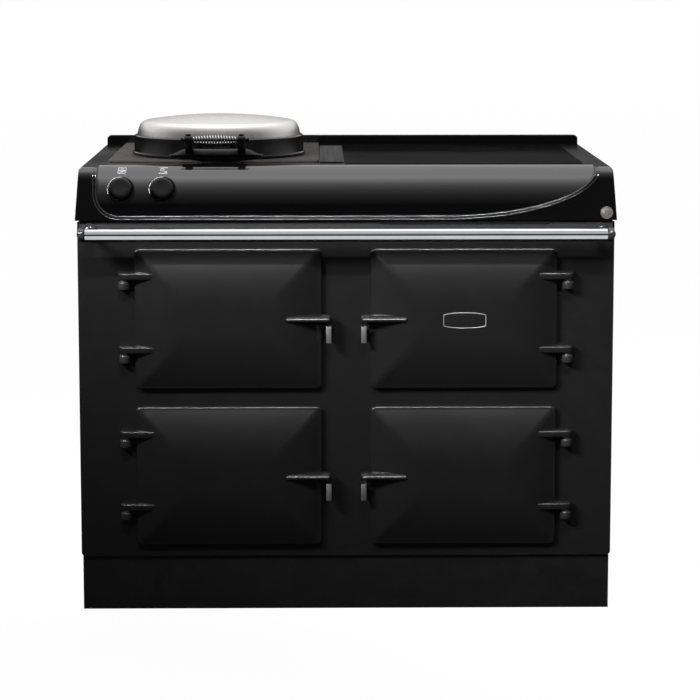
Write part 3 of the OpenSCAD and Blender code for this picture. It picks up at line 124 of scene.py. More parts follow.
# ---- Studio -------------------------------------------------------------------------------------
# White surroundings and a white floor, which keeps the cooker's shadow. Polished faces mirror a ceiling that
# falls off to a dark wall behind the camera, so black enamel stays black. Soft boxes stand high on the left,
# over the camera and at each side, and two cards in front are for the chromed rail alone.
world = bpy.data.worlds.new("studio")
world.use_nodes = True
scene.world = world
sky = world.node_tree
sky.nodes.clear()
ray = add(sky, "ShaderNodeLightPath")
aim = add(sky, "ShaderNodeSeparateXYZ", {"Vector": add(sky, "ShaderNodeTexCoord").outputs["Generated"]})
climb = reckon(sky, "ARCSINE", aim.outputs["Z"])
height = add(sky, "ShaderNodeMapRange", {"Value": climb, 1: -math.pi / 2, 2: math.pi / 2})
# how bright the walls are at each elevation in degrees, in front of the cooker and behind it; a ramp's white
# stands for white_tone, and mirrored rays see more of it than matt surfaces do
front_tones = [(-90, 0.003), (-4, 0.004), (2, 0.012), (9, 0.032), (21, 0.065), (33, 0.11), (45, 0.19),
               (58, 0.33), (70, 0.56), (80, 0.85), (90, 1.3)]
back_tones = [(-90, 0.004), (0, 0.006), (4.5, 0.011), (6.5, 0.05), (9, 0.16), (14, 0.4), (24, 0.42),
              (36, 0.5), (60, 0.8), (80, 1.1), (90, 1.3)]
white_tone = 2.0
mirror_strength, matt_strength = 4.0, 1.3
front_wall, back_wall = (
    ramp(sky, height.outputs[0], [((degrees + 90) / 180, tone / white_tone) for degrees, tone in tones])
    for tones in (front_tones, back_tones))
behind = add(sky, "ShaderNodeMapRange", {"Value": aim.outputs["Y"], 1: -0.45, 2: 0.45})
wall = add(sky, "ShaderNodeMix", {0: behind.outputs[0], 6: front_wall, 7: back_wall}, data_type="RGBA")
bounce = add(sky, "ShaderNodeMapRange", {"Value": ray.outputs["Is Diffuse Ray"], 3: mirror_strength,
                                         4: matt_strength})
mirrored = add(sky, "ShaderNodeBackground", {"Color": wall.outputs[2], "Strength": bounce.outputs[0]})
white = add(sky, "ShaderNodeBackground", {"Color": (1.0, 1.0, 1.0, 1.0), "Strength": 1.0})
shown = add(sky, "ShaderNodeMixShader", {0: seen_directly(sky, ray), 1: mirrored.outputs[0],
                                         2: white.outputs[0]})
add(sky, "ShaderNodeOutputWorld", {"Surface": shown.outputs[0]})


def lamp(name, place, target, size, radiance):
    """A soft box that faces a point of the cooker, as bright as a white wall at a radiance of 1."""
    data = bpy.data.lights.new(name, "AREA")
    data.shape, data.size, data.size_y = "RECTANGLE", size[0], size[1]
    data.energy = radiance * math.pi * size[0] * size[1]
    box = put(name, data)
    box.location = place
    box.rotation_euler = (Vector(target) - Vector(place)).to_track_quat("-Z", "Y").to_euler()
    return box


key = lamp("left_soft_box", (-1.75, -1.65, 2.0), (-0.34, -0.32, 0.86), (2.3, 0.3), 5.4)
strip_box = lamp("high_strip_box", (-0.25, -1.8, 2.35), (-0.25, -0.32, 0.85), (2.4, 0.09), 8.0)
for box, spread in ((key, 32), (strip_box, 34)):
    box.data.spread = math.radians(spread)
rail_cards = [lamp("low_rail_card", (0.0, -1.67, 0.02), (0.0, -1.67, 2.0), (6.0, 2.6), 1.0),
              lamp("high_rail_card", (0.0, -3.2, 2.6), (0.0, -0.38, 0.786), (6.0, 2.6), 0.5)]
side_boxes = [lamp("left_side_box", (-2.4, 0.5, 1.5), (-0.55, 0.0, 0.5), (1.6, 1.2), 3.4),
              lamp("right_side_box", (2.4, 0.5, 1.5), (0.55, 0.0, 0.5), (1.6, 1.2), 3.4)]

bpy.ops.mesh.primitive_plane_add(size=40.0, location=(0.0, 0.0, 0.0))
floor = bpy.context.object
floor.name = "floor"
paper = bpy.data.materials.new("studio_floor")
paper.use_nodes = True
tree = paper.node_tree
tree.nodes.clear()
paper_white, glow, glow_share, mirrored_glow = 0.92, 1.08, 0.88, 0.03
pale = add(tree, "ShaderNodeBsdfDiffuse", {"Color": (paper_white, paper_white, paper_white, 1.0)})
lifted, dim = (add(tree, "ShaderNodeEmission", {"Color": (1.0, 1.0, 1.0, 1.0), "Strength": strength})
               for strength in (glow, mirrored_glow))
camera_look = add(tree, "ShaderNodeMixShader", {0: glow_share, 1: pale.outputs[0], 2: lifted.outputs[0]})
direct = seen_directly(tree, add(tree, "ShaderNodeLightPath"))
second = add(tree, "ShaderNodeMixShader", {0: direct, 1: dim.outputs[0], 2: camera_look.outputs[0]})
add(tree, "ShaderNodeOutputMaterial", {"Surface": second.outputs[0]})
floor.data.materials.append(paper)


# ---- Plinth and feet ----------------------------------------------------------------------------
# A folded sheet plinth, sprayed satin black, hides four screwed steel feet. They alone carry the weight
# on the floor.
def finish(name, dark, light, cell_mm, rough, bump_mm=0.0, bump_cell_mm=2.0, stretch=(1, 1, 1), **sockets):
    """Colour wanders over cells of a given size and roughness over broader ones, under a fine relief.

    dark and light are colours, rough a pair of roughnesses, and stretch draws the cells out along an axis."""
    made = bpy.data.materials.new(name)
    made.use_nodes = True
    tree = made.node_tree
    skin = tree.nodes["Principled BSDF"]
    coords = add(tree, "ShaderNodeTexCoord").outputs["Object"]
    drawn_out = tuple(1 / s for s in stretch)
    laid = add(tree, "ShaderNodeMapping", {"Vector": coords, "Scale": drawn_out}).outputs[0]
    # noise stays between these, and the drift is seven times as broad as the cells
    low, high = 0.3, 0.7
    cells = add(tree, "ShaderNodeTexNoise", {"Vector": laid, "Scale": 1000 / cell_mm, "Detail": 4.0})
    drift = add(tree, "ShaderNodeTexNoise", {"Vector": laid, "Scale": 140 / cell_mm, "Detail": 2.0})
    tree.links.new(ramp(tree, cells.outputs["Fac"], [(low, dark), (high, light)]), skin.inputs["Base Color"])
    dull = add(tree, "ShaderNodeMapRange", {"Value": drift.outputs["Fac"], 1: low, 2: high,
                                            3: rough[0], 4: rough[1]})
    tree.links.new(dull.outputs[0], skin.inputs["Roughness"])
    if bump_mm:
        grain = add(tree, "ShaderNodeTexNoise", {"Vector": laid, "Scale": 1000 / bump_cell_mm, "Detail": 3.0})
        relief = add(tree, "ShaderNodeBump", {"Height": grain.outputs["Fac"], "Distance": bump_mm / 1000,
                                              "Strength": 1.0})
        tree.links.new(relief.outputs[0], skin.inputs["Normal"])
    for key, value in sockets.items():
        skin.inputs[key.replace("_", " ")].default_value = value
    return made


def dress(node, material):
    """A CAD node whose shape is right keeps it and takes a better finish."""
    for held in frame["nodes"][node].material_slots:
        held.material = material


plinth_paint = finish("plinth_paint", (0.0042, 0.0038, 0.0042), (0.0062, 0.0056, 0.006), 6, (0.34, 0.44),
                      0.02, 1.2)
zinc_plate = finish("zinc_plate", (0.5, 0.5, 0.48), (0.66, 0.66, 0.64), 5, (0.3, 0.45), 0.01, 1.0,
                    Metallic=1.0)
dress("plinth", plinth_paint)
dress("levelling_feet", zinc_plate)

# ---- Chassis ------------------------------------------------------------------------------------
# A base tray with welded angle posts and top rails, sprayed with grey primer. The panels and castings hang
# on it, and the ovens stand inside it.
primer = finish("grey_primer", (0.07, 0.07, 0.075), (0.1, 0.1, 0.105), 9, (0.55, 0.7), 0.03, 0.8)
dress("chassis_frame", primer)


# ---- Front plate and side panels ----------------------------------------------------------------
# Black glass enamel fired on cast iron and on sheet. It is glossy, with a faint orange peel and a breath
# of warm tone.
def fired_enamel(name, rough, peel_mm, depth, shine=1.5):
    """Vitreous enamel: near black, with a slow drift of tone and a faint ripple of the glass."""
    dark, light = (depth, depth * 0.93, depth), (depth * 1.2, depth * 1.13, depth * 1.17)
    made = finish(name, dark, light, 26, rough, peel_mm, 5.0)
    made.node_tree.nodes["Principled BSDF"].inputs["IOR"].default_value = shine
    return made


enamel = fired_enamel("black_enamel", (0.22, 0.25), 0.0025, 0.0085)
for name in ("front_plate", "left_side_panel", "right_side_panel"):
    dress(name, enamel)


# ---- Back panel ---------------------------------------------------------------------------------
# Galvanised sheet with the crystal spangle of hot-dip zinc, held by ten flanged hexagon screws in two
# rows. The box, pipe and housings that no one sees in use are of the same sheet.
def galvanised():
    """Hot-dip zinc: crystals of even greys, each with its own tone."""
    dark, light = (0.33, 0.34, 0.35), (0.52, 0.53, 0.54)
    made = finish("galvanised_sheet", dark, light, 60, (0.34, 0.5), 0.01, 1.2, Metallic=1.0)
    tree = made.node_tree
    coords = add(tree, "ShaderNodeTexCoord").outputs["Object"]
    crystals = add(tree, "ShaderNodeTexVoronoi", {"Vector": coords, "Scale": 70.0})
    tone = add(tree, "ShaderNodeSeparateColor", {"Color": crystals.outputs["Color"]})
    greys = ramp(tree, tone.outputs[0], [(0.0, dark), (1.0, light)])
    tree.links.new(greys, tree.nodes["Principled BSDF"].inputs["Base Color"])
    return made


zinc_sheet = galvanised()
for name in ("back_panel", "terminal_box", "vent_pipe", "hotplate_housing", "induction_unit"):
    dress(name, zinc_sheet)


front_mm = 315.75


def place(x, t, z):
    """A point in mm, with t counted backwards from the front plate's face, in the cooker's own frame."""
    return Vector((x / 1000, (t - front_mm) / 1000, z / 1000))


def points_mesh(name, points, edges=(), faces=()):
    """A bare mesh from points, with the chains or the faces that join them."""
    data = bpy.data.meshes.new(name)
    data.from_pydata([tuple(p) for p in points], list(edges), list(faces))
    return data


def mesh_piece(name, points, faces, material, on=body):
    """A closed mesh from points already in the frame. It rides on a body of the cooker."""
    data = points_mesh(name, points, (), faces)
    work = bmesh.new()
    work.from_mesh(data)
    bmesh.ops.remove_doubles(work, verts=work.verts, dist=1e-6)
    bmesh.ops.dissolve_degenerate(work, edges=work.edges, dist=1e-7)
    bmesh.ops.recalc_face_normals(work, faces=work.faces)
    work.to_mesh(data)
    work.free()
    data.materials.append(material)
    piece = put(name, data)
    smooth_up_to(piece, 32)
    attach(piece, on)
    return piece


def smooth_up_to(piece, degrees):
    """Smooth shading, except across edges sharper than an angle."""
    piece.data.polygons.foreach_set("use_smooth", [True] * len(piece.data.polygons))
    piece.data.set_sharp_from_angle(angle=math.radians(degrees))


def ring_solid(name, profile, axis_point, axis, material, steps=96, on=body):
    """A turned solid from (radius, height) pairs in mm round an axis, from one pole or rim to the other."""
    axis = Vector(axis).normalized()
    side = axis.orthogonal().normalized() if abs(axis.z) < 0.99 else Vector((1, 0, 0))
    other = axis.cross(side)
    points, faces, n = [], [], len(profile)
    hollow = profile[0][0] > 0 or profile[-1][0] > 0
    for i in range(steps):
        a, j = 2 * math.pi * i / steps, (i + 1) % steps
        out = side * math.cos(a) + other * math.sin(a)
        points += [axis_point + (out * r + axis * h) / 1000 for r, h in profile]
        faces += [(i * n + k, j * n + k, j * n + (k + 1) % n, i * n + (k + 1) % n)
                  for k in range(n if hollow else n - 1)]
    return mesh_piece(name, points, faces, material, on)


def final_mesh(piece):
    """The mesh that a piece's modifiers or its curve come to."""
    bpy.context.view_layer.update()
    return bpy.data.meshes.new_from_object(piece.evaluated_get(bpy.context.evaluated_depsgraph_get()))


def baked(piece):
    """Turns a piece with modifiers into its plain final mesh."""
    done = final_mesh(piece)
    piece.modifiers.clear()
    piece.data = done


def tree_of(name, inputs):
    """An empty geometry tree with named number inputs, its input node and each socket's identifier."""
    tree = bpy.data.node_groups.new(name, "GeometryNodeTree")
    tree.interface.new_socket("Geometry", in_out="INPUT", socket_type="NodeSocketGeometry")
    keys = {}
    for label, value in inputs.items():
        kind = "NodeSocketInt" if isinstance(value, int) else "NodeSocketFloat"
        socket = tree.interface.new_socket(label, in_out="INPUT", socket_type=kind)
        socket.default_value = value
        keys[label] = socket.identifier
    tree.interface.new_socket("Geometry", in_out="OUTPUT", socket_type="NodeSocketGeometry")
    return tree, tree.nodes.new("NodeGroupInput"), keys


def grown(name, grower, sizes, start, material, on=body):
    """Runs a geometry tree on a start mesh and keeps the result as a plain mesh that rides on a body."""
    tree, keys = grower
    piece = put(name, start)
    growth = piece.modifiers.new("growth", "NODES")
    growth.node_group = tree
    for label, value in sizes.items():
        growth[keys[label]] = value
    baked(piece)
    piece.data.materials.clear()
    piece.data.materials.append(material)
    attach(piece, on)
    return piece


def finish_tree(tree, geometry, material):
    """Realises instances, sets the material and ends the tree."""
    whole = add(tree, "GeometryNodeRealizeInstances", {"Geometry": geometry})
    painted = add(tree, "GeometryNodeSetMaterial", {"Geometry": whole.outputs[0], "Material": material})
    tree.links.new(painted.outputs[0], tree.nodes.new("NodeGroupOutput").inputs[0])


def screws_tree(material):
    """Flanged hexagon heads, one on each point, that face the back."""
    tree, given, keys = tree_of("hexagon_screws", {"Head radius": 0.0032, "Head height": 0.0016,
                                                   "Flange radius": 0.0045, "Flange height": 0.0009})
    flange, head = (add(tree, "GeometryNodeMeshCylinder", {"Vertices": corners,
                                                           "Radius": given.outputs[f"{part} radius"],
                                                           "Depth": given.outputs[f"{part} height"]})
                    for part, corners in (("Flange", 24), ("Head", 6)))
    lift = add(tree, "ShaderNodeCombineXYZ", {"Z": given.outputs["Head height"]})
    raised = add(tree, "GeometryNodeTransform", {"Geometry": head.outputs["Mesh"],
                                                 "Translation": lift.outputs[0]})
    both = add(tree, "GeometryNodeJoinGeometry")
    tree.links.new(flange.outputs["Mesh"], both.inputs[0])
    tree.links.new(raised.outputs[0], both.inputs[0])
    to_back = (-math.pi / 2, 0.0, 0.0)
    spread = add(tree, "GeometryNodeInstanceOnPoints", {"Points": given.outputs[0],
                                                        "Instance": both.outputs[0], "Rotation": to_back})
    finish_tree(tree, spread.outputs[0], material)
    return tree, keys


screw_x, screw_t, screw_low, screw_pitch = 525, 690.45, 128, 165.5
spots = [place(side * screw_x, screw_t, screw_low + i * screw_pitch) for side in (-1, 1) for i in range(5)]
screws = grown("hexagon_screws", screws_tree(zinc_plate), {"Head radius": 0.0034},
               points_mesh("screw_spots", spots), zinc_plate)
smooth_up_to(screws, 30)
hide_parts("back_screws")

# ---- Vent trim ----------------------------------------------------------------------------------
# A pressed strip under the top casting, enamelled in a satin grey-black, with one long slot that lets the
# ovens breathe.
trim_enamel = finish("trim_enamel", (0.022, 0.021, 0.021), (0.032, 0.031, 0.031), 4, (0.3, 0.4), 0.008, 2.0)
dress("vent_trim", trim_enamel)

# ---- Top casting and its bead -------------------------------------------------------------------
# One enamelled iron casting. Its long control fascia rolls over into the hob and sweeps up at the right end,
# and a double bead, cast and dressed by hand, follows the fascia's edge.
casting_enamel = fired_enamel("casting_enamel", (0.12, 0.17), 0.01, 0.008, 1.7)
dress("top_casting", casting_enamel)
dress("rear_rail", casting_enamel)
lip_z, hob_z, lip_t = 809.0, 915.0, -12.0
lean, edge_r = math.radians(6), 25.0


def cheek_depth(z):
    """Where the casting's leaning front face, or its rounded upper edge, stands at a height."""
    centre_z = hob_z - edge_r
    face_z = centre_z + edge_r * math.sin(lean)
    leaning_t = lip_t + (min(z, face_z) - lip_z) * math.tan(lean)
    if z <= face_z:
        return leaning_t
    return leaning_t + edge_r * math.cos(lean) - math.sqrt(edge_r ** 2 - (z - centre_z) ** 2)


def arc(cx, cy, r, start, end, steps=16):
    """Points along an arc, from one angle in degrees to another."""
    return [(cx + r * math.cos(math.radians(a)), cy + r * math.sin(math.radians(a)))
            for a in np.linspace(start, end, steps)]


def fascia_edge(out):
    """The fascia's edge, moved outwards: down the left, along the foot and up the long sweep."""
    left, low, corner = -505.0 - out, 818.0 - out, 45.0 + out
    sweep_x, sweep_run, sweep_turn = 200.0, 307.0 + out, math.radians(88)
    path = [(left, z) for z in np.linspace(hob_z - 3.0, low + corner, 14)]
    path += arc(left + corner, low + corner, corner, 180, 270, 20)[1:]
    path += [(x, low) for x in np.linspace(left + corner, sweep_x, 40)[1:]]
    path += [(sweep_x + sweep_run * math.sin(a), hob_z - (hob_z - low) * math.cos(a))
             for a in np.linspace(0, sweep_turn, 60)[1:]]
    return path


def swept(tree, chain, radius, sides, capped=True):
    """A round section, swept along a chain of points."""
    line = add(tree, "GeometryNodeMeshToCurve", {"Mesh": chain})
    ring = add(tree, "GeometryNodeCurvePrimitiveCircle", {"Resolution": sides, "Radius": radius})
    return add(tree, "GeometryNodeCurveToMesh", {"Curve": line.outputs[0], "Profile Curve": ring.outputs[0],
                                                 "Fill Caps": capped}).outputs[0]


def strand_tree(name, material, capped):
    """A round bead or strand along each chain of points."""
    tree, given, keys = tree_of(name, {"Radius": 0.001, "Sides": 6})
    finish_tree(tree, swept(tree, given.outputs[0], given.outputs["Radius"], given.outputs["Sides"], capped),
                material)
    return tree, keys


bead_enamel = fired_enamel("bead_enamel", (0.1, 0.14), 0.002, 0.012, 1.8)
bead_grower = strand_tree("cast_bead", bead_enamel, True)
bead_out = 0.9
for name, out, r in (("fascia_bead_inner", 1.0, 1.7), ("fascia_bead_outer", 6.6, 1.5)):
    path = [place(x, cheek_depth(z) - bead_out, z) for x, z in fascia_edge(out)]
    chain = points_mesh(name, path, [(i, i + 1) for i in range(len(path) - 1)])
    bead = grown(name, bead_grower, {"Radius": r / 1000, "Sides": 12}, chain, bead_enamel)
    smooth_up_to(bead, 60)

# A cast nickel boss on the right cheek: a plain turned disc with two steps and a ring of small beads.
nickel = finish("cast_nickel", (0.3, 0.27, 0.24), (0.5, 0.46, 0.42), 2.5, (0.3, 0.42), 0.03, 0.9,
                Metallic=1.0)
boss_x, boss_z = 528.0, 824.0
boss_at = place(boss_x, cheek_depth(boss_z), boss_z)
boss_axis = Vector((0.0, -math.cos(lean), math.sin(lean)))
boss_steps = [(0, 0), (12.4, 0), (12.8, 0.5), (12.8, 1.3), (12.2, 2.0), (10.2, 2.0), (9.6, 1.5), (8.9, 1.5),
              (8.3, 2.6), (5.0, 3.0), (4.4, 2.3), (3.4, 2.3), (2.8, 2.9), (0, 3.0)]
boss = ring_solid("cheek_boss", boss_steps, boss_at, boss_axis, nickel, 72)
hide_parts("medallion")


def beads_tree(material):
    """Small round beads, one on each point."""
    tree, given, keys = tree_of("boss_beads", {"Bead radius": 0.0008})
    ball = add(tree, "GeometryNodeMeshIcoSphere", {"Radius": given.outputs["Bead radius"], "Subdivisions": 2})
    spread = add(tree, "GeometryNodeInstanceOnPoints", {"Points": given.outputs[0],
                                                        "Instance": ball.outputs["Mesh"]})
    finish_tree(tree, spread.outputs[0], material)
    return tree, keys


bead_ring_r, bead_ring_out, bead_count = 6.7, 2.7, 16
right = Vector((1, 0, 0))
boss_up = boss_axis.cross(right).normalized()
spots = [boss_at + (right * u + boss_up * v + boss_axis * bead_ring_out) / 1000
         for u, v in arc(0, 0, bead_ring_r, 0, 360, bead_count + 1)[:-1]]
beads = grown("cheek_boss_beads", beads_tree(nickel), {"Bead radius": 0.0008},
              points_mesh("bead_spots", spots), nickel)
smooth_up_to(beads, 60)

# ---- Hotplate, surround and strip ---------------------------------------------------------------
# A round iron plate, faced on a lathe, lies in a surround of warm grey enamelled sheet. A brushed strip
# fills the gap to the glass.
surround_finish = finish("surround_enamel", (0.03, 0.0265, 0.0255), (0.045, 0.04, 0.0385), 3.0, (0.6, 0.7),
                         0.02, 1.6, Specular_IOR_Level=0.08)
strip_finish = finish("brushed_strip", (0.02, 0.02, 0.021), (0.04, 0.04, 0.041), 1.2, (0.45, 0.55), 0.006,
                      0.9, stretch=(1, 60, 1), Specular_IOR_Level=0.06)


def flat_curve(name, loops, thick_mm, round_mm, to_frame, material, on=body):
    """A flat plate with rounded edges from closed outlines in mm: the outside, and then any holes."""
    data = bpy.data.curves.new(name, "CURVE")
    data.dimensions, data.fill_mode = "2D", "BOTH"
    data.extrude = thick_mm / 2 - round_mm
    data.bevel_depth, data.bevel_resolution, data.offset = round_mm, 2, -round_mm
    for loop in loops:
        spline = data.splines.new("POLY")
        spline.points.add(len(loop) - 1)
        for point, (u, v) in zip(spline.points, loop):
            point.co = (u, v, 0.0, 1.0)
        spline.use_cyclic_u = True
    flat = put(name, data)
    plain = final_mesh(flat)
    points = [to_frame(*v.co) for v in plain.vertices]
    faces = [tuple(p.vertices) for p in plain.polygons]
    bpy.data.objects.remove(flat)
    return mesh_piece(name, points, faces, material, on)


def round_rect(w, h, r, cx=0.0, cy=0.0, steps=10):
    """A rectangle's outline with round corners."""
    corners = enumerate(((1, 1), (-1, 1), (-1, -1), (1, -1)))
    return [spot for k, (sx, sy) in corners
            for spot in arc(cx + sx * (w / 2 - r), cy + sy * (h / 2 - r), r, 90 * k, 90 * k + 90, steps)]


def level_at(z):
    """Lays what is drawn flat on a level plane of the hob."""
    return lambda u, v, w: place(u, v, z + w)


lid_x, lid_t, mouth_r = -269.0, 317.0, 172
sheet = [round_rect(438, 512, 5, -274, 399), arc(lid_x, lid_t, mouth_r, 0, 360, 181)[:-1]]
surround = flat_curve("hotplate_surround_sheet", sheet, 5.0, 0.9, level_at(917.5), surround_finish)
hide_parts("hotplate_surround")
strip = flat_curve("brushed_infill_strip", [round_rect(49.5, 467, 1, -28.25, 363.5)], 2.0, 0.4,
                   level_at(916.0), strip_finish)
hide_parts("infill_strip")


def turned_iron(centre):
    """Machined iron: fine rings round a centre, from the facing tool, and a blue-brown heat tone."""
    made = finish("turned_iron", (0.13, 0.125, 0.125), (0.2, 0.195, 0.2), 30, (0.32, 0.45), Metallic=1.0)
    tree, ring_pitch = made.node_tree, 0.0012
    coords = add(tree, "ShaderNodeTexCoord").outputs["Object"]
    spot = add(tree, "ShaderNodeVectorMath", {0: coords, 1: (centre.x, centre.y, 0.0)}, operation="SUBTRACT")
    flat = add(tree, "ShaderNodeVectorMath", {0: spot.outputs[0], 1: (1.0, 1.0, 0.0)}, operation="MULTIPLY")
    radius = add(tree, "ShaderNodeVectorMath", {0: flat.outputs[0]}, operation="LENGTH")
    rings = reckon(tree, "SINE", reckon(tree, "MULTIPLY", radius.outputs["Value"], 2 * math.pi / ring_pitch))
    relief = add(tree, "ShaderNodeBump", {"Height": rings, "Distance": 0.00002, "Strength": 0.7})
    tree.links.new(relief.outputs[0], tree.nodes["Principled BSDF"].inputs["Normal"])
    return made


dress("hotplate", turned_iron(place(lid_x, lid_t, 0)))
hot_sheath = finish("element_sheath", (0.1, 0.07, 0.055), (0.2, 0.16, 0.14), 8, (0.35, 0.5), 0.01, 1.0,
                    Metallic=1.0)
dress("hotplate_element", hot_sheath)

# ---- Glass hob ----------------------------------------------------------------------------------
# One sheet of black glass ceramic, flush with the casting on a sealed ledge. Flat copper coils lie under
# it, over the closed induction unit.
hob_glass = finish("hob_glass", (0.009, 0.009, 0.0094), (0.0115, 0.0115, 0.012), 20, (0.05, 0.08), 0.0012,
                   14.0, IOR=1.52)
dress("ceramic_glass", hob_glass)
copper = finish("wound_copper", (0.5, 0.2, 0.1), (0.78, 0.38, 0.22), 1.6, (0.25, 0.4), 0.03, 1.2,
                Metallic=1.0)
dress("induction_coils", copper)

# ---- Ovens, elements and shelves ----------------------------------------------------------------
# Four cast iron ovens with an acid-proof grey-flecked enamel, a sheathed hairpin element under each roof,
# and a welded wire shelf on ribs that run from front to back.
oven_enamel = finish("oven_enamel", (0.012, 0.012, 0.014), (0.03, 0.03, 0.034), 1.6, (0.35, 0.5), 0.02, 1.5)
wire_chrome = finish("shelf_chrome", (0.5, 0.48, 0.45), (0.62, 0.6, 0.57), 6, (0.14, 0.24), Metallic=1.0)
door_x, rows, side_of = 239.75, {"upper": 608.0, "lower": 282.5}, {"left": -1, "right": 1}
quarters = [(f"{row}_{side_name}", side, z) for row, z in rows.items() for side_name, side in side_of.items()]
for quarter, _, _ in quarters:
    dress(f"{quarter}_oven", oven_enamel)
dress("oven_elements", hot_sheath)
dress("oven_shelves", wire_chrome)

# ---- Oven insulation ----------------------------------------------------------------------------
# Mineral wool batts, packed by hand round the ovens inside the panels, with the lumps and loose fibres of
# felted wool. It is cut from one block and pressed back a few millimetres from the sheet metal.
wool_skin = finish("mineral_wool", (0.3, 0.24, 0.13), (0.5, 0.42, 0.26), 5, (0.9, 1.0), 1.2, 3.0,
                   stretch=(3, 1, 1))
wool_mesh = frame["nodes"]["oven_insulation"].data.copy()
work = bmesh.new()
work.from_mesh(wool_mesh)
bmesh.ops.remove_doubles(work, verts=work.verts, dist=1e-5)
work.to_mesh(wool_mesh)
work.free()
wool = put("mineral_wool_batts", wool_mesh)
felt = wool.modifiers.new("felt", "REMESH")
felt.mode, felt.voxel_size = "VOXEL", 0.0125
clouds = bpy.data.textures.new("wool_lumps", "CLOUDS")
clouds.noise_scale = 0.05
lumps = wool.modifiers.new("lumps", "DISPLACE")
lumps.texture, lumps.strength, lumps.mid_level = clouds, 0.006, 1.0
baked(wool)
wool.data.materials.clear()
wool.data.materials.append(wool_skin)
smooth_up_to(wool, 180)
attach(wool, body)
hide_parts("oven_insulation")

# ---- Oven seals ---------------------------------------------------------------------------------
# A rope of three twisted glass-fibre strands lies in a groove of the front plate round each oven mouth,
# and the door's back presses on it.
rope_skin = finish("seal_rope", (0.12, 0.115, 0.105), (0.3, 0.29, 0.27), 1.2, (0.85, 1.0), 0.25, 0.7)


def walk(loop, count):
    """Points at equal steps along a closed outline, each with its outward normal."""
    ends = np.array(loop)
    legs = np.roll(ends, -1, axis=0) - ends
    spans = np.hypot(legs[:, 0], legs[:, 1])
    marks = np.concatenate([[0], np.cumsum(spans)])
    out = []
    for s in np.linspace(0, marks[-1], count + 1)[:-1]:
        k = min(int(np.searchsorted(marks, s, "right")) - 1, len(loop) - 1)
        way = legs[k] / spans[k]
        out.append((ends[k] + way * (s - marks[k]), np.array([way[1], -way[0]])))
    return out


seal_low, seal_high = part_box("oven_seals")
seal_w = (seal_high[0] - seal_low[0]) * 1000 - 2 * door_x
seal_h = (seal_high[2] - seal_low[2]) * 1000 - (rows["upper"] - rows["lower"])
rope_w, rope_steps, rope_turns, rope_t = 7, 440, 55, 2.6
lay_out, lay_deep = 1.9, 1.0
path = walk(round_rect(seal_w - rope_w, seal_h - rope_w, 10), rope_steps)
points, chain = [], []
for side in side_of.values():
    for z in rows.values():
        for strand in range(3):
            first = len(points)
            for i, (spot, out) in enumerate(path):
                turn = 2 * math.pi * (i * rope_turns / rope_steps + strand / 3)
                u, v = spot + out * lay_out * math.cos(turn)
                points.append(place(side * door_x + u, rope_t + lay_deep * math.sin(turn), z + v))
            chain += [(first + i, first + (i + 1) % rope_steps) for i in range(rope_steps)]
rope = grown("oven_door_rope", strand_tree("twisted_rope", rope_skin, False), {"Radius": 0.0014},
             points_mesh("rope_lay", points, chain), rope_skin)
smooth_up_to(rope, 180)
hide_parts("oven_seals")


# ---- Oven doors ---------------------------------------------------------------------------------
# Each door is one enamelled iron casting: a shallow pyramid with a soft raised panel, a rounded rim, two
# hinge lugs on the outer side and a wedge to pull it by on the inner side. The back is hollow and carries
# the liner.
door_w, door_h, rise, rim_depth = 380.5, 288.0, 26.0, 12.0
edge = door_w / 2


def skin_over(name, rings, to_frame, material, on):
    """A closed skin over a stack of outlines that have equal point counts, capped at both ends."""
    n = len(rings[0])
    points = [to_frame(*p) for ring in rings for p in ring]
    faces = [(a * n + k, a * n + (k + 1) % n, (a + 1) * n + (k + 1) % n, (a + 1) * n + k)
             for a in range(len(rings) - 1) for k in range(n)]
    faces += [tuple(reversed(range(n))), tuple(range((len(rings) - 1) * n, len(rings) * n))]
    return mesh_piece(name, points, faces, material, on)


def door_rings():
    """The casting's skin from the middle of its face, over the rim and into the hollow back."""
    crest, foot_w, foot_h = 1.38, door_w - 8, door_h - 8
    panel_steps = [1.55, 1.5, 1.45, 1.4, 1.34, 1.28, 1.22, 1.16, 1.1, 1.05, 1.0, 0.95, 0.9, 0.84, 0.78, 0.72,
                   0.66, 0.6, 0.5, 0.4, 0.3, 0.2, 0.1, 0.05, 0.0]

    def swell(s):
        return rise * (1 - (1 - min(s / crest, 1.0)) ** 1.9)

    def level(w, h, r, t):
        return [(u, v, t) for u, v in round_rect(w, h, r)]

    rings = [level(foot_w - 153.5 * s, foot_h - 161 * s, 9 + min(s, 1), -rim_depth - swell(s))
             for s in panel_steps]
    for a in np.linspace(0, math.pi / 2, 8)[1:]:
        out, up = math.sin(a), math.cos(a)
        rings.append(level(foot_w + 8 * out, foot_h + 8 * out, 9 + 2 * out, -8 - 4 * up))
    back = [(380.5, 288, 11, -1.3), (379.9, 287.4, 10.7, -0.8), (379, 286.5, 10.3, -0.5),
            (369, 276.5, 8, -0.5), (368.5, 276, 8, -0.9), (368.5, 276, 8, -5.5), (364, 272, 7, -7),
            (219, 119, 8, -31), (213, 113, 8, -31.8)]
    return rings + [level(*step) for step in back]


def prism(name, outline, low, high, to_frame, material, on, round_mm):
    """A solid on an outline whose bottom and top may vary from point to point, with rounded edges."""
    n = len(outline)
    points = [to_frame(u, v, end(u, v)) for end in (low, high) for u, v in outline]
    faces = [(k, (k + 1) % n, n + (k + 1) % n, n + k) for k in range(n)]
    faces += [tuple(reversed(range(n))), tuple(range(n, 2 * n))]
    piece = mesh_piece(name, points, faces, material, on)
    bevel = piece.modifiers.new("rounding", "BEVEL")
    bevel.width, bevel.segments = round_mm / 1000, 3
    bevel.limit_method, bevel.angle_limit = "ANGLE", math.radians(30)
    baked(piece)
    smooth_up_to(piece, 35)
    return piece


def at_door_of(side, z):
    """Door outlines are drawn for the left door and mirrored for the right one."""
    return lambda u, t, v: place(side * door_x - side * u, t, z + v)


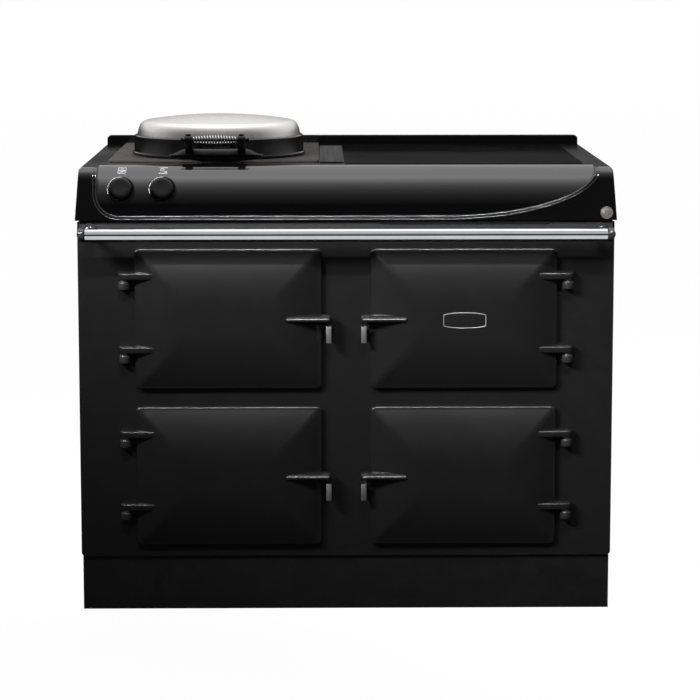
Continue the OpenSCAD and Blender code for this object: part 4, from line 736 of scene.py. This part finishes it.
door_enamel = fired_enamel("door_enamel", (0.22, 0.25), 0.0025, 0.008)
eye_r, hinge_u, hinge_t = 11.5, -211.25, -14.0
lug_levels, lug_high, lug_fall = (("top", 90.0), ("foot", -61.0)), 17.0, 4.0
lug_line = arc(hinge_u, hinge_t, eye_r, 90, 270) + [(hinge_u + 66, hinge_t - eye_r), (hinge_u + 66, hinge_t),
                                                    (hinge_u + 21, hinge_t + eye_r)]


def pull_rings():
    """The wedge's sections from inside the casting to its free tip: a nose that droops to a thin lip."""
    section = [(-15 - 5 * k / 3, 10 - 0.1 * k) for k in range(3)]
    section += [(-20 - 18 * math.sin(a), -1 + 10.6 * math.cos(a)) for a in np.linspace(0.05, math.pi / 2, 14)]
    section += [(-37.6, -2.4), (-36.2, -3.6), (-34, -4.6), (-24, -8.6), (-16, -11.8), (-15, -12)]
    tip_u, tip_run, core_t, core_z = edge + 12, 8, -15, -1
    rings = [[(u, t, z) for t, z in section] for u in np.linspace(edge - 72, tip_u, 12)]
    for b in np.linspace(0, math.radians(84), 9)[1:]:
        k = math.cos(b)
        rings.append([(tip_u + tip_run * math.sin(b), core_t + (t - core_t) * (0.45 + 0.55 * k),
                       core_z + (z - core_z) * (0.6 + 0.4 * k)) for t, z in section])
    return rings


for quarter, side, z in quarters:
    leaf, spot = f"{quarter}_door_leaf", at_door_of(side, z)
    door = skin_over(f"{quarter}_door_casting", door_rings(), lambda u, v, t: spot(u, t, v), door_enamel,
                     leaf)
    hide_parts(f"{quarter}_door")
    for level_name, level in lug_levels:
        low, high = level - lug_high / 2, level + lug_high / 2
        lug = prism(f"{quarter}_{level_name}_lug", lug_line, lambda u, t: low,
                    lambda u, t: high - lug_fall * (hinge_t + eye_r - t) / (2 * eye_r), spot, door_enamel,
                    leaf, 2.6)
    pull = skin_over(f"{quarter}_pull", pull_rings(), spot, door_enamel, leaf)

# ---- Hinge brackets, pins and catches -----------------------------------------------------------
# Iron knuckles are bolted to the front plate. A steel pin stands in each on a collar, the door's lug drops
# over it, and a bare steel bar under each pull wedge keeps the door shut.
bracket_finish = finish("bracket_enamel", (0.016, 0.015, 0.015), (0.026, 0.024, 0.024), 3, (0.24, 0.32), 0.03,
                        2.0)
pin_steel = finish("pin_steel", (0.45, 0.44, 0.43), (0.6, 0.59, 0.58), 3, (0.2, 0.32), 0.01, 0.8,
                   Metallic=1.0)
bare_steel = finish("bare_steel", (0.22, 0.215, 0.21), (0.3, 0.295, 0.29), 4, (0.5, 0.6), 0.02, 0.9,
                    stretch=(1, 1, 8), Metallic=1.0)
knuckle_line = arc(hinge_u, hinge_t, eye_r, 180, 360) + [(hinge_u + eye_r, 0.0), (hinge_u - eye_r, 0.0)]
knuckle_under, knuckle_high = 29.5, 17.0
hook_u, hook_w, hook_front, hook_back = edge + 8.5, 10.5, -33, -21
hook_low, hook_high, hook_neck = -47.5, -13.5, 8.0
hook_line = [(hook_u, hook_front), (hook_u + hook_w, hook_front), (hook_u + hook_w, hook_back),
             (hook_u + 9.5, hook_back), (hook_u + 9.5, 0), (hook_u + 1, 0), (hook_u + 1, hook_back),
             (hook_u, hook_back)]


def drawn_in(u, t):
    """How much lower the catch's neck is than its bar, at each end."""
    return 0.0 if t <= hook_back and u in (hook_u, hook_u + hook_w) else hook_neck


knuckles, hooks = [], []
for quarter, side, z in quarters:
    spot = at_door_of(side, z)
    for level_name, level in lug_levels:
        low = level - knuckle_under
        knuckle = prism(f"{quarter}_{level_name}_knuckle", knuckle_line, lambda u, t: low,
                        lambda u, t: low + knuckle_high, spot, bracket_finish, body, 3.2)
        knuckles.append(knuckle)
    hook = prism(f"{quarter}_catch", hook_line, lambda u, t: hook_low + drawn_in(u, t),
                 lambda u, t: hook_high - drawn_in(u, t), spot, bare_steel, body, 0.9)
    hooks.append(hook)
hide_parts("hinge_brackets")
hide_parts("door_catches")
dress("hinge_pins", pin_steel)

# ---- Door liners and oval plate -----------------------------------------------------------------
# A pressed sheet pan closes the back of each door, and another lines the lid. A blank oval plate with a
# raised rim sits on the upper right door's raised panel.
liner_sheet = finish("liner_sheet", (0.42, 0.41, 0.4), (0.56, 0.55, 0.54), 8, (0.3, 0.42), 0.02, 1.4,
                     stretch=(12, 1, 1), Metallic=1.0)
for name in [quarter for quarter, _, _ in quarters] + ["lid"]:
    dress(f"{name}_liner", liner_sheet)
plate_metal = finish("plate_metal", (0.5, 0.49, 0.48), (0.66, 0.65, 0.63), 2.2, (0.46, 0.56), 0.012, 0.8,
                     stretch=(9, 1, 1), Metallic=1.0)


def barrel(w, h, flat):
    """The plate's outline: short straight ends, joined by two shallow bows."""
    bow = [(w / 2 * math.cos(a), flat / 2 + (h - flat) / 2 * math.sin(a))
           for a in np.linspace(0, math.pi, 33)]
    return [(door_x + u, rows["upper"] + v) for u, v in bow + [(-u, -v) for u, v in bow]]


def on_panel(t):
    """Lays what is drawn flat on a door's raised panel."""
    return lambda u, v, w: place(u, t - w, v)


oval = flat_curve("oval_plate", [barrel(86, 32, 19)], 1.6, 0.3, on_panel(-38.6), enamel,
                  "upper_right_door_leaf")
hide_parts("badge_plate")
rim = flat_curve("oval_plate_rim", [barrel(87, 33, 20), barrel(83.8, 29.8, 18.4)], 1.4, 0.5, on_panel(-39.4),
                 plate_metal, "upper_right_door_leaf")

# ---- Handrail -----------------------------------------------------------------------------------
# A chromed steel tube along the whole front, on two cast brackets with round bosses. Turned caps close
# its ends.
chrome = finish("chrome_plate", (0.5, 0.51, 0.52), (0.54, 0.55, 0.56), 40, (0.035, 0.06), Metallic=1.0)
rail_z, rail_t, arm_x, arm_t, arm_steps = 786.0, -65.0, 519, -8, 12
tube_ends = [(0, -524), (11.9, -524), (12.5, -523.4), (12.5, 0), (12.5, 523.4), (11.9, 524), (0, 524)]
rail = ring_solid("handrail_tube", tube_ends, place(0, rail_t, rail_z), (1, 0, 0), chrome, 128)
lit_alone = bpy.data.collections.new("chromed_rail")
lit_alone.objects.link(rail)
for card in rail_cards:
    card.light_linking.receiver_collection = lit_alone
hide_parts("handrail")
bracket_gloss = finish("bracket_gloss", (0.02, 0.019, 0.02), (0.034, 0.032, 0.033), 3, (0.1, 0.16), 0.01, 2.0)
rail_cap = [(0, 12), (10.5, 12), (12.6, 11.2), (13.4, 9.6), (13.5, 8), (13.5, 1.2), (12.9, 0.2), (12.0, 0),
            (0, 0)]
rail_boss = [(0, 0), (17, 0), (17, 2.2), (16.2, 3.4), (14.4, 3.8), (13.6, 3.2), (12.8, 3.2), (12.0, 4.4),
             (8.4, 6.2), (0, 6.4)]
for end, side in side_of.items():
    cap = ring_solid(f"{end}_rail_cap", rail_cap, place(side * 525, rail_t, rail_z), (side, 0, 0),
                     bracket_gloss, 64)
    boss = ring_solid(f"{end}_rail_boss", rail_boss, place(side * arm_x, -4, rail_z), (0, -1, 0),
                      bracket_gloss, 64)
    sections = []
    for s in np.linspace(0, 1, arm_steps):
        x, t, r = side * (arm_x + 12 * s * s), arm_t + (rail_t - arm_t) * s, 9.4 - 1.2 * math.sin(math.pi * s)
        sections.append([(x + u, t, rail_z + v) for u, v in arc(0, 0, r, 0, 360, 33)[:-1]])
    arm = skin_over(f"{end}_rail_arm", sections, place, bracket_gloss, body)
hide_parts("handrail_brackets")

# ---- Control knobs ------------------------------------------------------------------------------
# Two moulded black knobs turn on switch spindles behind the fascia. Each stands in a low ring with a pale arc
# over the upper left of its rim, under a small printed sign for its cooking zone.
knob_black = finish("knob_plastic", (0.008, 0.008, 0.009), (0.013, 0.013, 0.014), 2.5, (0.2, 0.27), 0.006,
                    0.9)
ring_black = finish("knob_ring", (0.011, 0.011, 0.011), (0.017, 0.017, 0.017), 2.5, (0.3, 0.4), 0.008, 1.0)
# pale marks: the printed zone signs, and a pale arc laid on the crown of each knob ring's rim
pale_marks = finish("pale_marks", (0.28, 0.28, 0.285), (0.36, 0.36, 0.365), 1.0, (0.5, 0.6))
knob_x, knob_z, knob_t = {"left": -456.0, "right": -372.0}, 870.0, 2.0625
out_way, up_way = Vector((0.0, -0.899218, 0.4375)), Vector((0.0, 0.4375, 0.899218))
knob_cap = [(0, 0.8), (20.5, 0.8), (22.8, 1.4), (23.3, 3), (22.4, 11), (21.8, 13.4), (20.6, 15), (18.4, 15.8),
             (15, 15.9), (8, 15.5), (0, 15.3)]
nib_line = [(-26.2, -1.6), (-18, -2.6), (-6, -2.2), (-6, 2.2), (-18, 2.6), (-26.2, 1.6)]
ring_steps = [(24.4, -3), (28.5, -3), (28.5, 2.6), (27.8, 3.6), (26.6, 4.0), (25.2, 3.6), (24.4, 2.8)]
sweep_line = arc(0, 0, 27.3, 86, 200, 40) + arc(0, 0, 26.4, 200, 86, 40)


def on_knob(seat, lift=0.0):
    """Lays what is drawn flat square to a knob's spindle, at a height above its seat."""
    return lambda u, v, w: seat + (Vector((u, 0, 0)) + up_way * v + out_way * (lift + w)) / 1000


for side_name, x in knob_x.items():
    seat, knob = place(x, knob_t, knob_z), f"{side_name}_control_knob"
    turned = ring_solid(f"{side_name}_knob_cap", knob_cap, seat, out_way, knob_black, 96, knob)
    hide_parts(f"{side_name}_knob")
    nib = prism(f"{side_name}_knob_nib", nib_line, lambda u, v: 2.0, lambda u, v: 13.0 if u < -20 else 15.9,
                on_knob(seat), knob_black, knob, 0.8)
    ring = ring_solid(f"{side_name}_knob_ring", ring_steps, seat, out_way, ring_black, 96)
    # a pale arc on the crown of the ring's rounded rim, over its upper left
    mark = flat_curve(f"{side_name}_knob_sweep", [sweep_line], 0.3, 0.1, on_knob(seat, 3.95), pale_marks)
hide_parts("knob_bezels")


def frame_line(w, h, cx, cy, thick=0.9):
    """A small printed frame: its outside and its inside."""
    return [round_rect(w, h, 0.4, cx, cy, 3), round_rect(w - 2 * thick, h - 2 * thick, 0.2, cx, cy, 3)]


def on_fascia(x, middle_z):
    """Lays a flat sign on the fascia's roll so that it reads undistorted from straight in front."""
    roll_t, roll_z, roll_r, ink_out = 74, 835, 80, 0.03

    def laid(u, v, w):
        share, r = (middle_z + v - roll_z) / roll_r, roll_r + ink_out + w
        return place(x + u, roll_t - r * math.cos(math.asin(share)), roll_z + r * share)
    return laid


signs = {"left": [frame_line(8.0, 4.9, cx, cy) for cx in (-4.5, 4.5) for cy in (-2.7, 2.7)],
         "right": [frame_line(17, 10.4, 0, 0), frame_line(8, 4.6, -2.2, 1.2),
                   frame_line(4.6, 2.8, 5.2, -2.2, 0.8)]}
sign_z = 906.5
for side_name, x in knob_x.items():
    for i, loops in enumerate(signs[side_name]):
        sign = flat_curve(f"{side_name}_zone_sign_{i + 1}", loops, 0.24, 0.08, on_fascia(x, sign_z), pale_marks)
dress("left_spindle", pin_steel)
dress("right_spindle", pin_steel)
switch_body = finish("switch_body", (0.03, 0.03, 0.032), (0.05, 0.05, 0.052), 3, (0.45, 0.6), 0.02, 1.0)
dress("control_switches", switch_body)

# ---- Hotplate lid -------------------------------------------------------------------------------
# A spun bright dome sits on a rolled black band that is lined with sheet. The band hangs on two arms behind,
# and a cast saddle in front carries a rod with a bright wire winding, which stays cool to the hand.
dome_steel = finish("lid_steel", (0.82, 0.805, 0.785), (0.88, 0.865, 0.845), 1.6, (0.27, 0.33), 0.006, 1.2,
                    Metallic=1.0)
band_black = finish("band_gloss", (0.010, 0.010, 0.010), (0.016, 0.016, 0.016), 30, (0.06, 0.1), 0.002, 6.0)
lid_seat, lid, up = place(lid_x, lid_t, 0), "hotplate_lid", (0, 0, 1)
crown_r, crown_z = 1003.5, 1004.9
crown = [(r, crown_z - crown_r + math.sqrt(crown_r ** 2 - r ** 2))
         for r in (0, 20, 40, 60, 80, 100, 115, 130, 142, 150)]
brow = [(155, 992.8), (158.5, 991.9), (162, 990.2), (165, 987.6), (167.6, 984.2), (169.8, 980),
        (171.6, 975.4), (173, 970.6), (174, 966.4)]
hem = [(174.8, 963.4), (175, 962.1), (169, 962.1), (166, 974), (150, 987), (0, 1000)]
dome = ring_solid("lid_dome_shell", crown + brow + hem, lid_seat, up, dome_steel, 192, lid)
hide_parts("lid_dome")
band_steps = [(178, 921), (183.4, 921), (184.6, 921.6), (185, 923), (185, 925), (184.4, 926.4), (183, 927),
              (181.6, 927.4), (181, 928.6), (181, 958.5), (180.2, 961), (178.4, 962), (169.6, 962),
              (169.6, 959), (178, 959)]
band = ring_solid("lid_band_ring", band_steps, lid_seat, up, band_black, 192, lid)
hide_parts("lid_band")
handle_black = finish("handle_black", (0.006, 0.006, 0.006), (0.011, 0.011, 0.011), 2, (0.28, 0.38), 0.04,
                      1.4)
for name in ("lid_hinge_arms", "lid_hinge_bracket"):
    dress(name, handle_black)


def saddle_rings():
    """The foot hugs the band: low at both ends, full height from one arm to the other."""
    reach, ramp_run, foot_low, foot_high, foot_out, band_r, foot_z = 31, 13, 0.22, 16, 18, 181, 928
    rings = []
    for a in np.linspace(-reach, reach, 63):
        k = min(1.0, (reach - abs(a)) / ramp_run)
        k = foot_low + (1 - foot_low) * k * k * (3 - 2 * k)
        h, w = foot_high * k, foot_out * (0.4 + 0.6 * k)
        way = math.radians(a - 90)
        section = [(0.3, 0.6), (1, 0), (0.6 * w, 0), (0.9 * w, 0.15 * h), (w, 0.3 * h), (0.86 * w, 0.66 * h),
                   (0.66 * w, 0.95 * h), (0.58 * w, h), (1, h), (0.3, h - 0.6)]
        across, back = math.cos(way), math.sin(way)
        rings.append([(lid_x + (band_r + out) * across, lid_t + (band_r + out) * back, foot_z + z)
                      for out, z in section])
    return rings


def around(spots):
    """The outline of the smallest convex shape that holds all the points."""
    spots = sorted(set(spots))
    halves = []
    for run in (spots, spots[::-1]):
        line = []
        for p in run:
            while len(line) > 1 and ((line[-1][0] - line[-2][0]) * (p[1] - line[-2][1])
                                     - (line[-1][1] - line[-2][1]) * (p[0] - line[-2][0])) <= 0:
                line.pop()
            line.append(p)
        halves += line[:-1]
    return halves


saddle = skin_over("saddle_foot", saddle_rings(), place, handle_black, lid)
smooth_up_to(saddle, 50)
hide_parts("handle_saddle")
rod_t, rod_z, arm_out, arm_half = 94, 965, 54.5, 8.0
arm_line = around([(round(t, 3), round(z, 3)) for t, z in arc(rod_t, rod_z, 10, 0, 345, 24)]
                  + [(134.5, 929), (143, 929), (143, 944), (134.5, 945)])
clamp_steps = [(0, 0), (5.6, 0), (6, 0.5), (6, 3.0), (5.2, 3.9), (2.2, 4.1), (2.0, 3.2), (0, 3.2)]
pieces = [saddle]
for side_name, side in side_of.items():
    x = lid_x + side * arm_out
    arm = prism(f"{side_name}_saddle_arm", arm_line, lambda t, z: -arm_half, lambda t, z: arm_half,
                lambda t, z, w: place(x + w, t, z), handle_black, lid, 2.2)
    cap = ring_solid(f"{side_name}_clamp_cap", clamp_steps, place(x, rod_t, 973.6), up, handle_black, 32, lid)
    pieces += [arm, cap]
dress("handle_rod", handle_black)
dress("lid_hinge_pin", pin_steel)


def winding_tree(material):
    """A wire wound on a barrel: a chain of points is bent into a helix and swept round."""
    tree, given, keys = tree_of("handle_winding", {"Half length": 0.0455, "Turns": 16, "End radius": 0.0056,
                                                   "Middle radius": 0.0083, "Wire radius": 0.0012})
    half, turns, end_r, middle_r, wire_r = given.outputs[1:6]
    steps = reckon(tree, "MULTIPLY", turns, 24.0)
    line = add(tree, "GeometryNodeMeshLine", {"Count": steps})
    share = reckon(tree, "DIVIDE", add(tree, "GeometryNodeInputIndex").outputs[0], steps)
    along = add(tree, "ShaderNodeMapRange", {"Value": share, 3: -1.0, 4: 1.0})
    belly = reckon(tree, "SINE", reckon(tree, "MULTIPLY", share, math.pi))
    radius = reckon(tree, "MULTIPLY_ADD", belly, reckon(tree, "SUBTRACT", middle_r, end_r), end_r)
    angle = reckon(tree, "MULTIPLY", reckon(tree, "MULTIPLY", share, turns), 2 * math.pi)
    x = reckon(tree, "MULTIPLY", along.outputs[0], half)
    y, z = (reckon(tree, "MULTIPLY", reckon(tree, way, angle), radius) for way in ("COSINE", "SINE"))
    spot = add(tree, "ShaderNodeCombineXYZ", {"X": x, "Y": y, "Z": z})
    grip = tuple(place(lid_x, rod_t, rod_z))
    centred = add(tree, "ShaderNodeVectorMath", {0: spot.outputs[0], 1: grip}, operation="ADD")
    bent = add(tree, "GeometryNodeSetPosition", {"Geometry": line.outputs[0], "Position": centred.outputs[0]})
    finish_tree(tree, swept(tree, bent.outputs[0], wire_r, 12), material)
    return tree, keys


coil_wire = finish("coil_wire", (0.62, 0.62, 0.62), (0.76, 0.76, 0.76), 3, (0.12, 0.2), Metallic=1.0)
coil = grown("handle_winding", winding_tree(coil_wire), {"Turns": 16},
             points_mesh("winding_start", [(0, 0, 0)]), coil_wire, lid)
smooth_up_to(coil, 60)
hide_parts("handle_coil")

# ---- Mains side ---------------------------------------------------------------------------------
# Behind, a sheet terminal box takes the supply through a nylon gland, and a galvanised pipe vents the
# ovens. Box and pipe are finished with the back panel's zinc above.
gland_nylon = finish("gland_nylon", (0.018, 0.018, 0.018), (0.03, 0.03, 0.03), 1.5, (0.45, 0.6), 0.02, 0.8)
dress("cable_gland", gland_nylon)

# ---- Polished faces -----------------------------------------------------------------------------
# The casting, knobs, lid, glass and rail mirror the studio's walls only, as behind a flag that shades the
# soft box. The two side boxes light the enamelled sides, which would be a flat black from where they show.
flagged = bpy.data.collections.new("polished_faces")
polished = (casting_enamel, knob_black, ring_black, dome_steel, band_black, chrome, hob_glass, handle_black,
            coil_wire, strip_finish)
for piece in scene.objects:
    if piece.type == "MESH" and any(held.material in polished for held in piece.material_slots):
        flagged.objects.link(piece)
for held in flagged.collection_objects:
    held.light_linking.link_state = "EXCLUDE"
for box in (key, strip_box):
    box.light_linking.receiver_collection = flagged
side_faces = bpy.data.collections.new("side_faces")
for name in ("left_side_panel", "right_side_panel", "top_casting", "plinth", "rear_rail"):
    side_faces.objects.link(frame["nodes"][name])
for box in side_boxes:
    box.light_linking.receiver_collection = side_faces
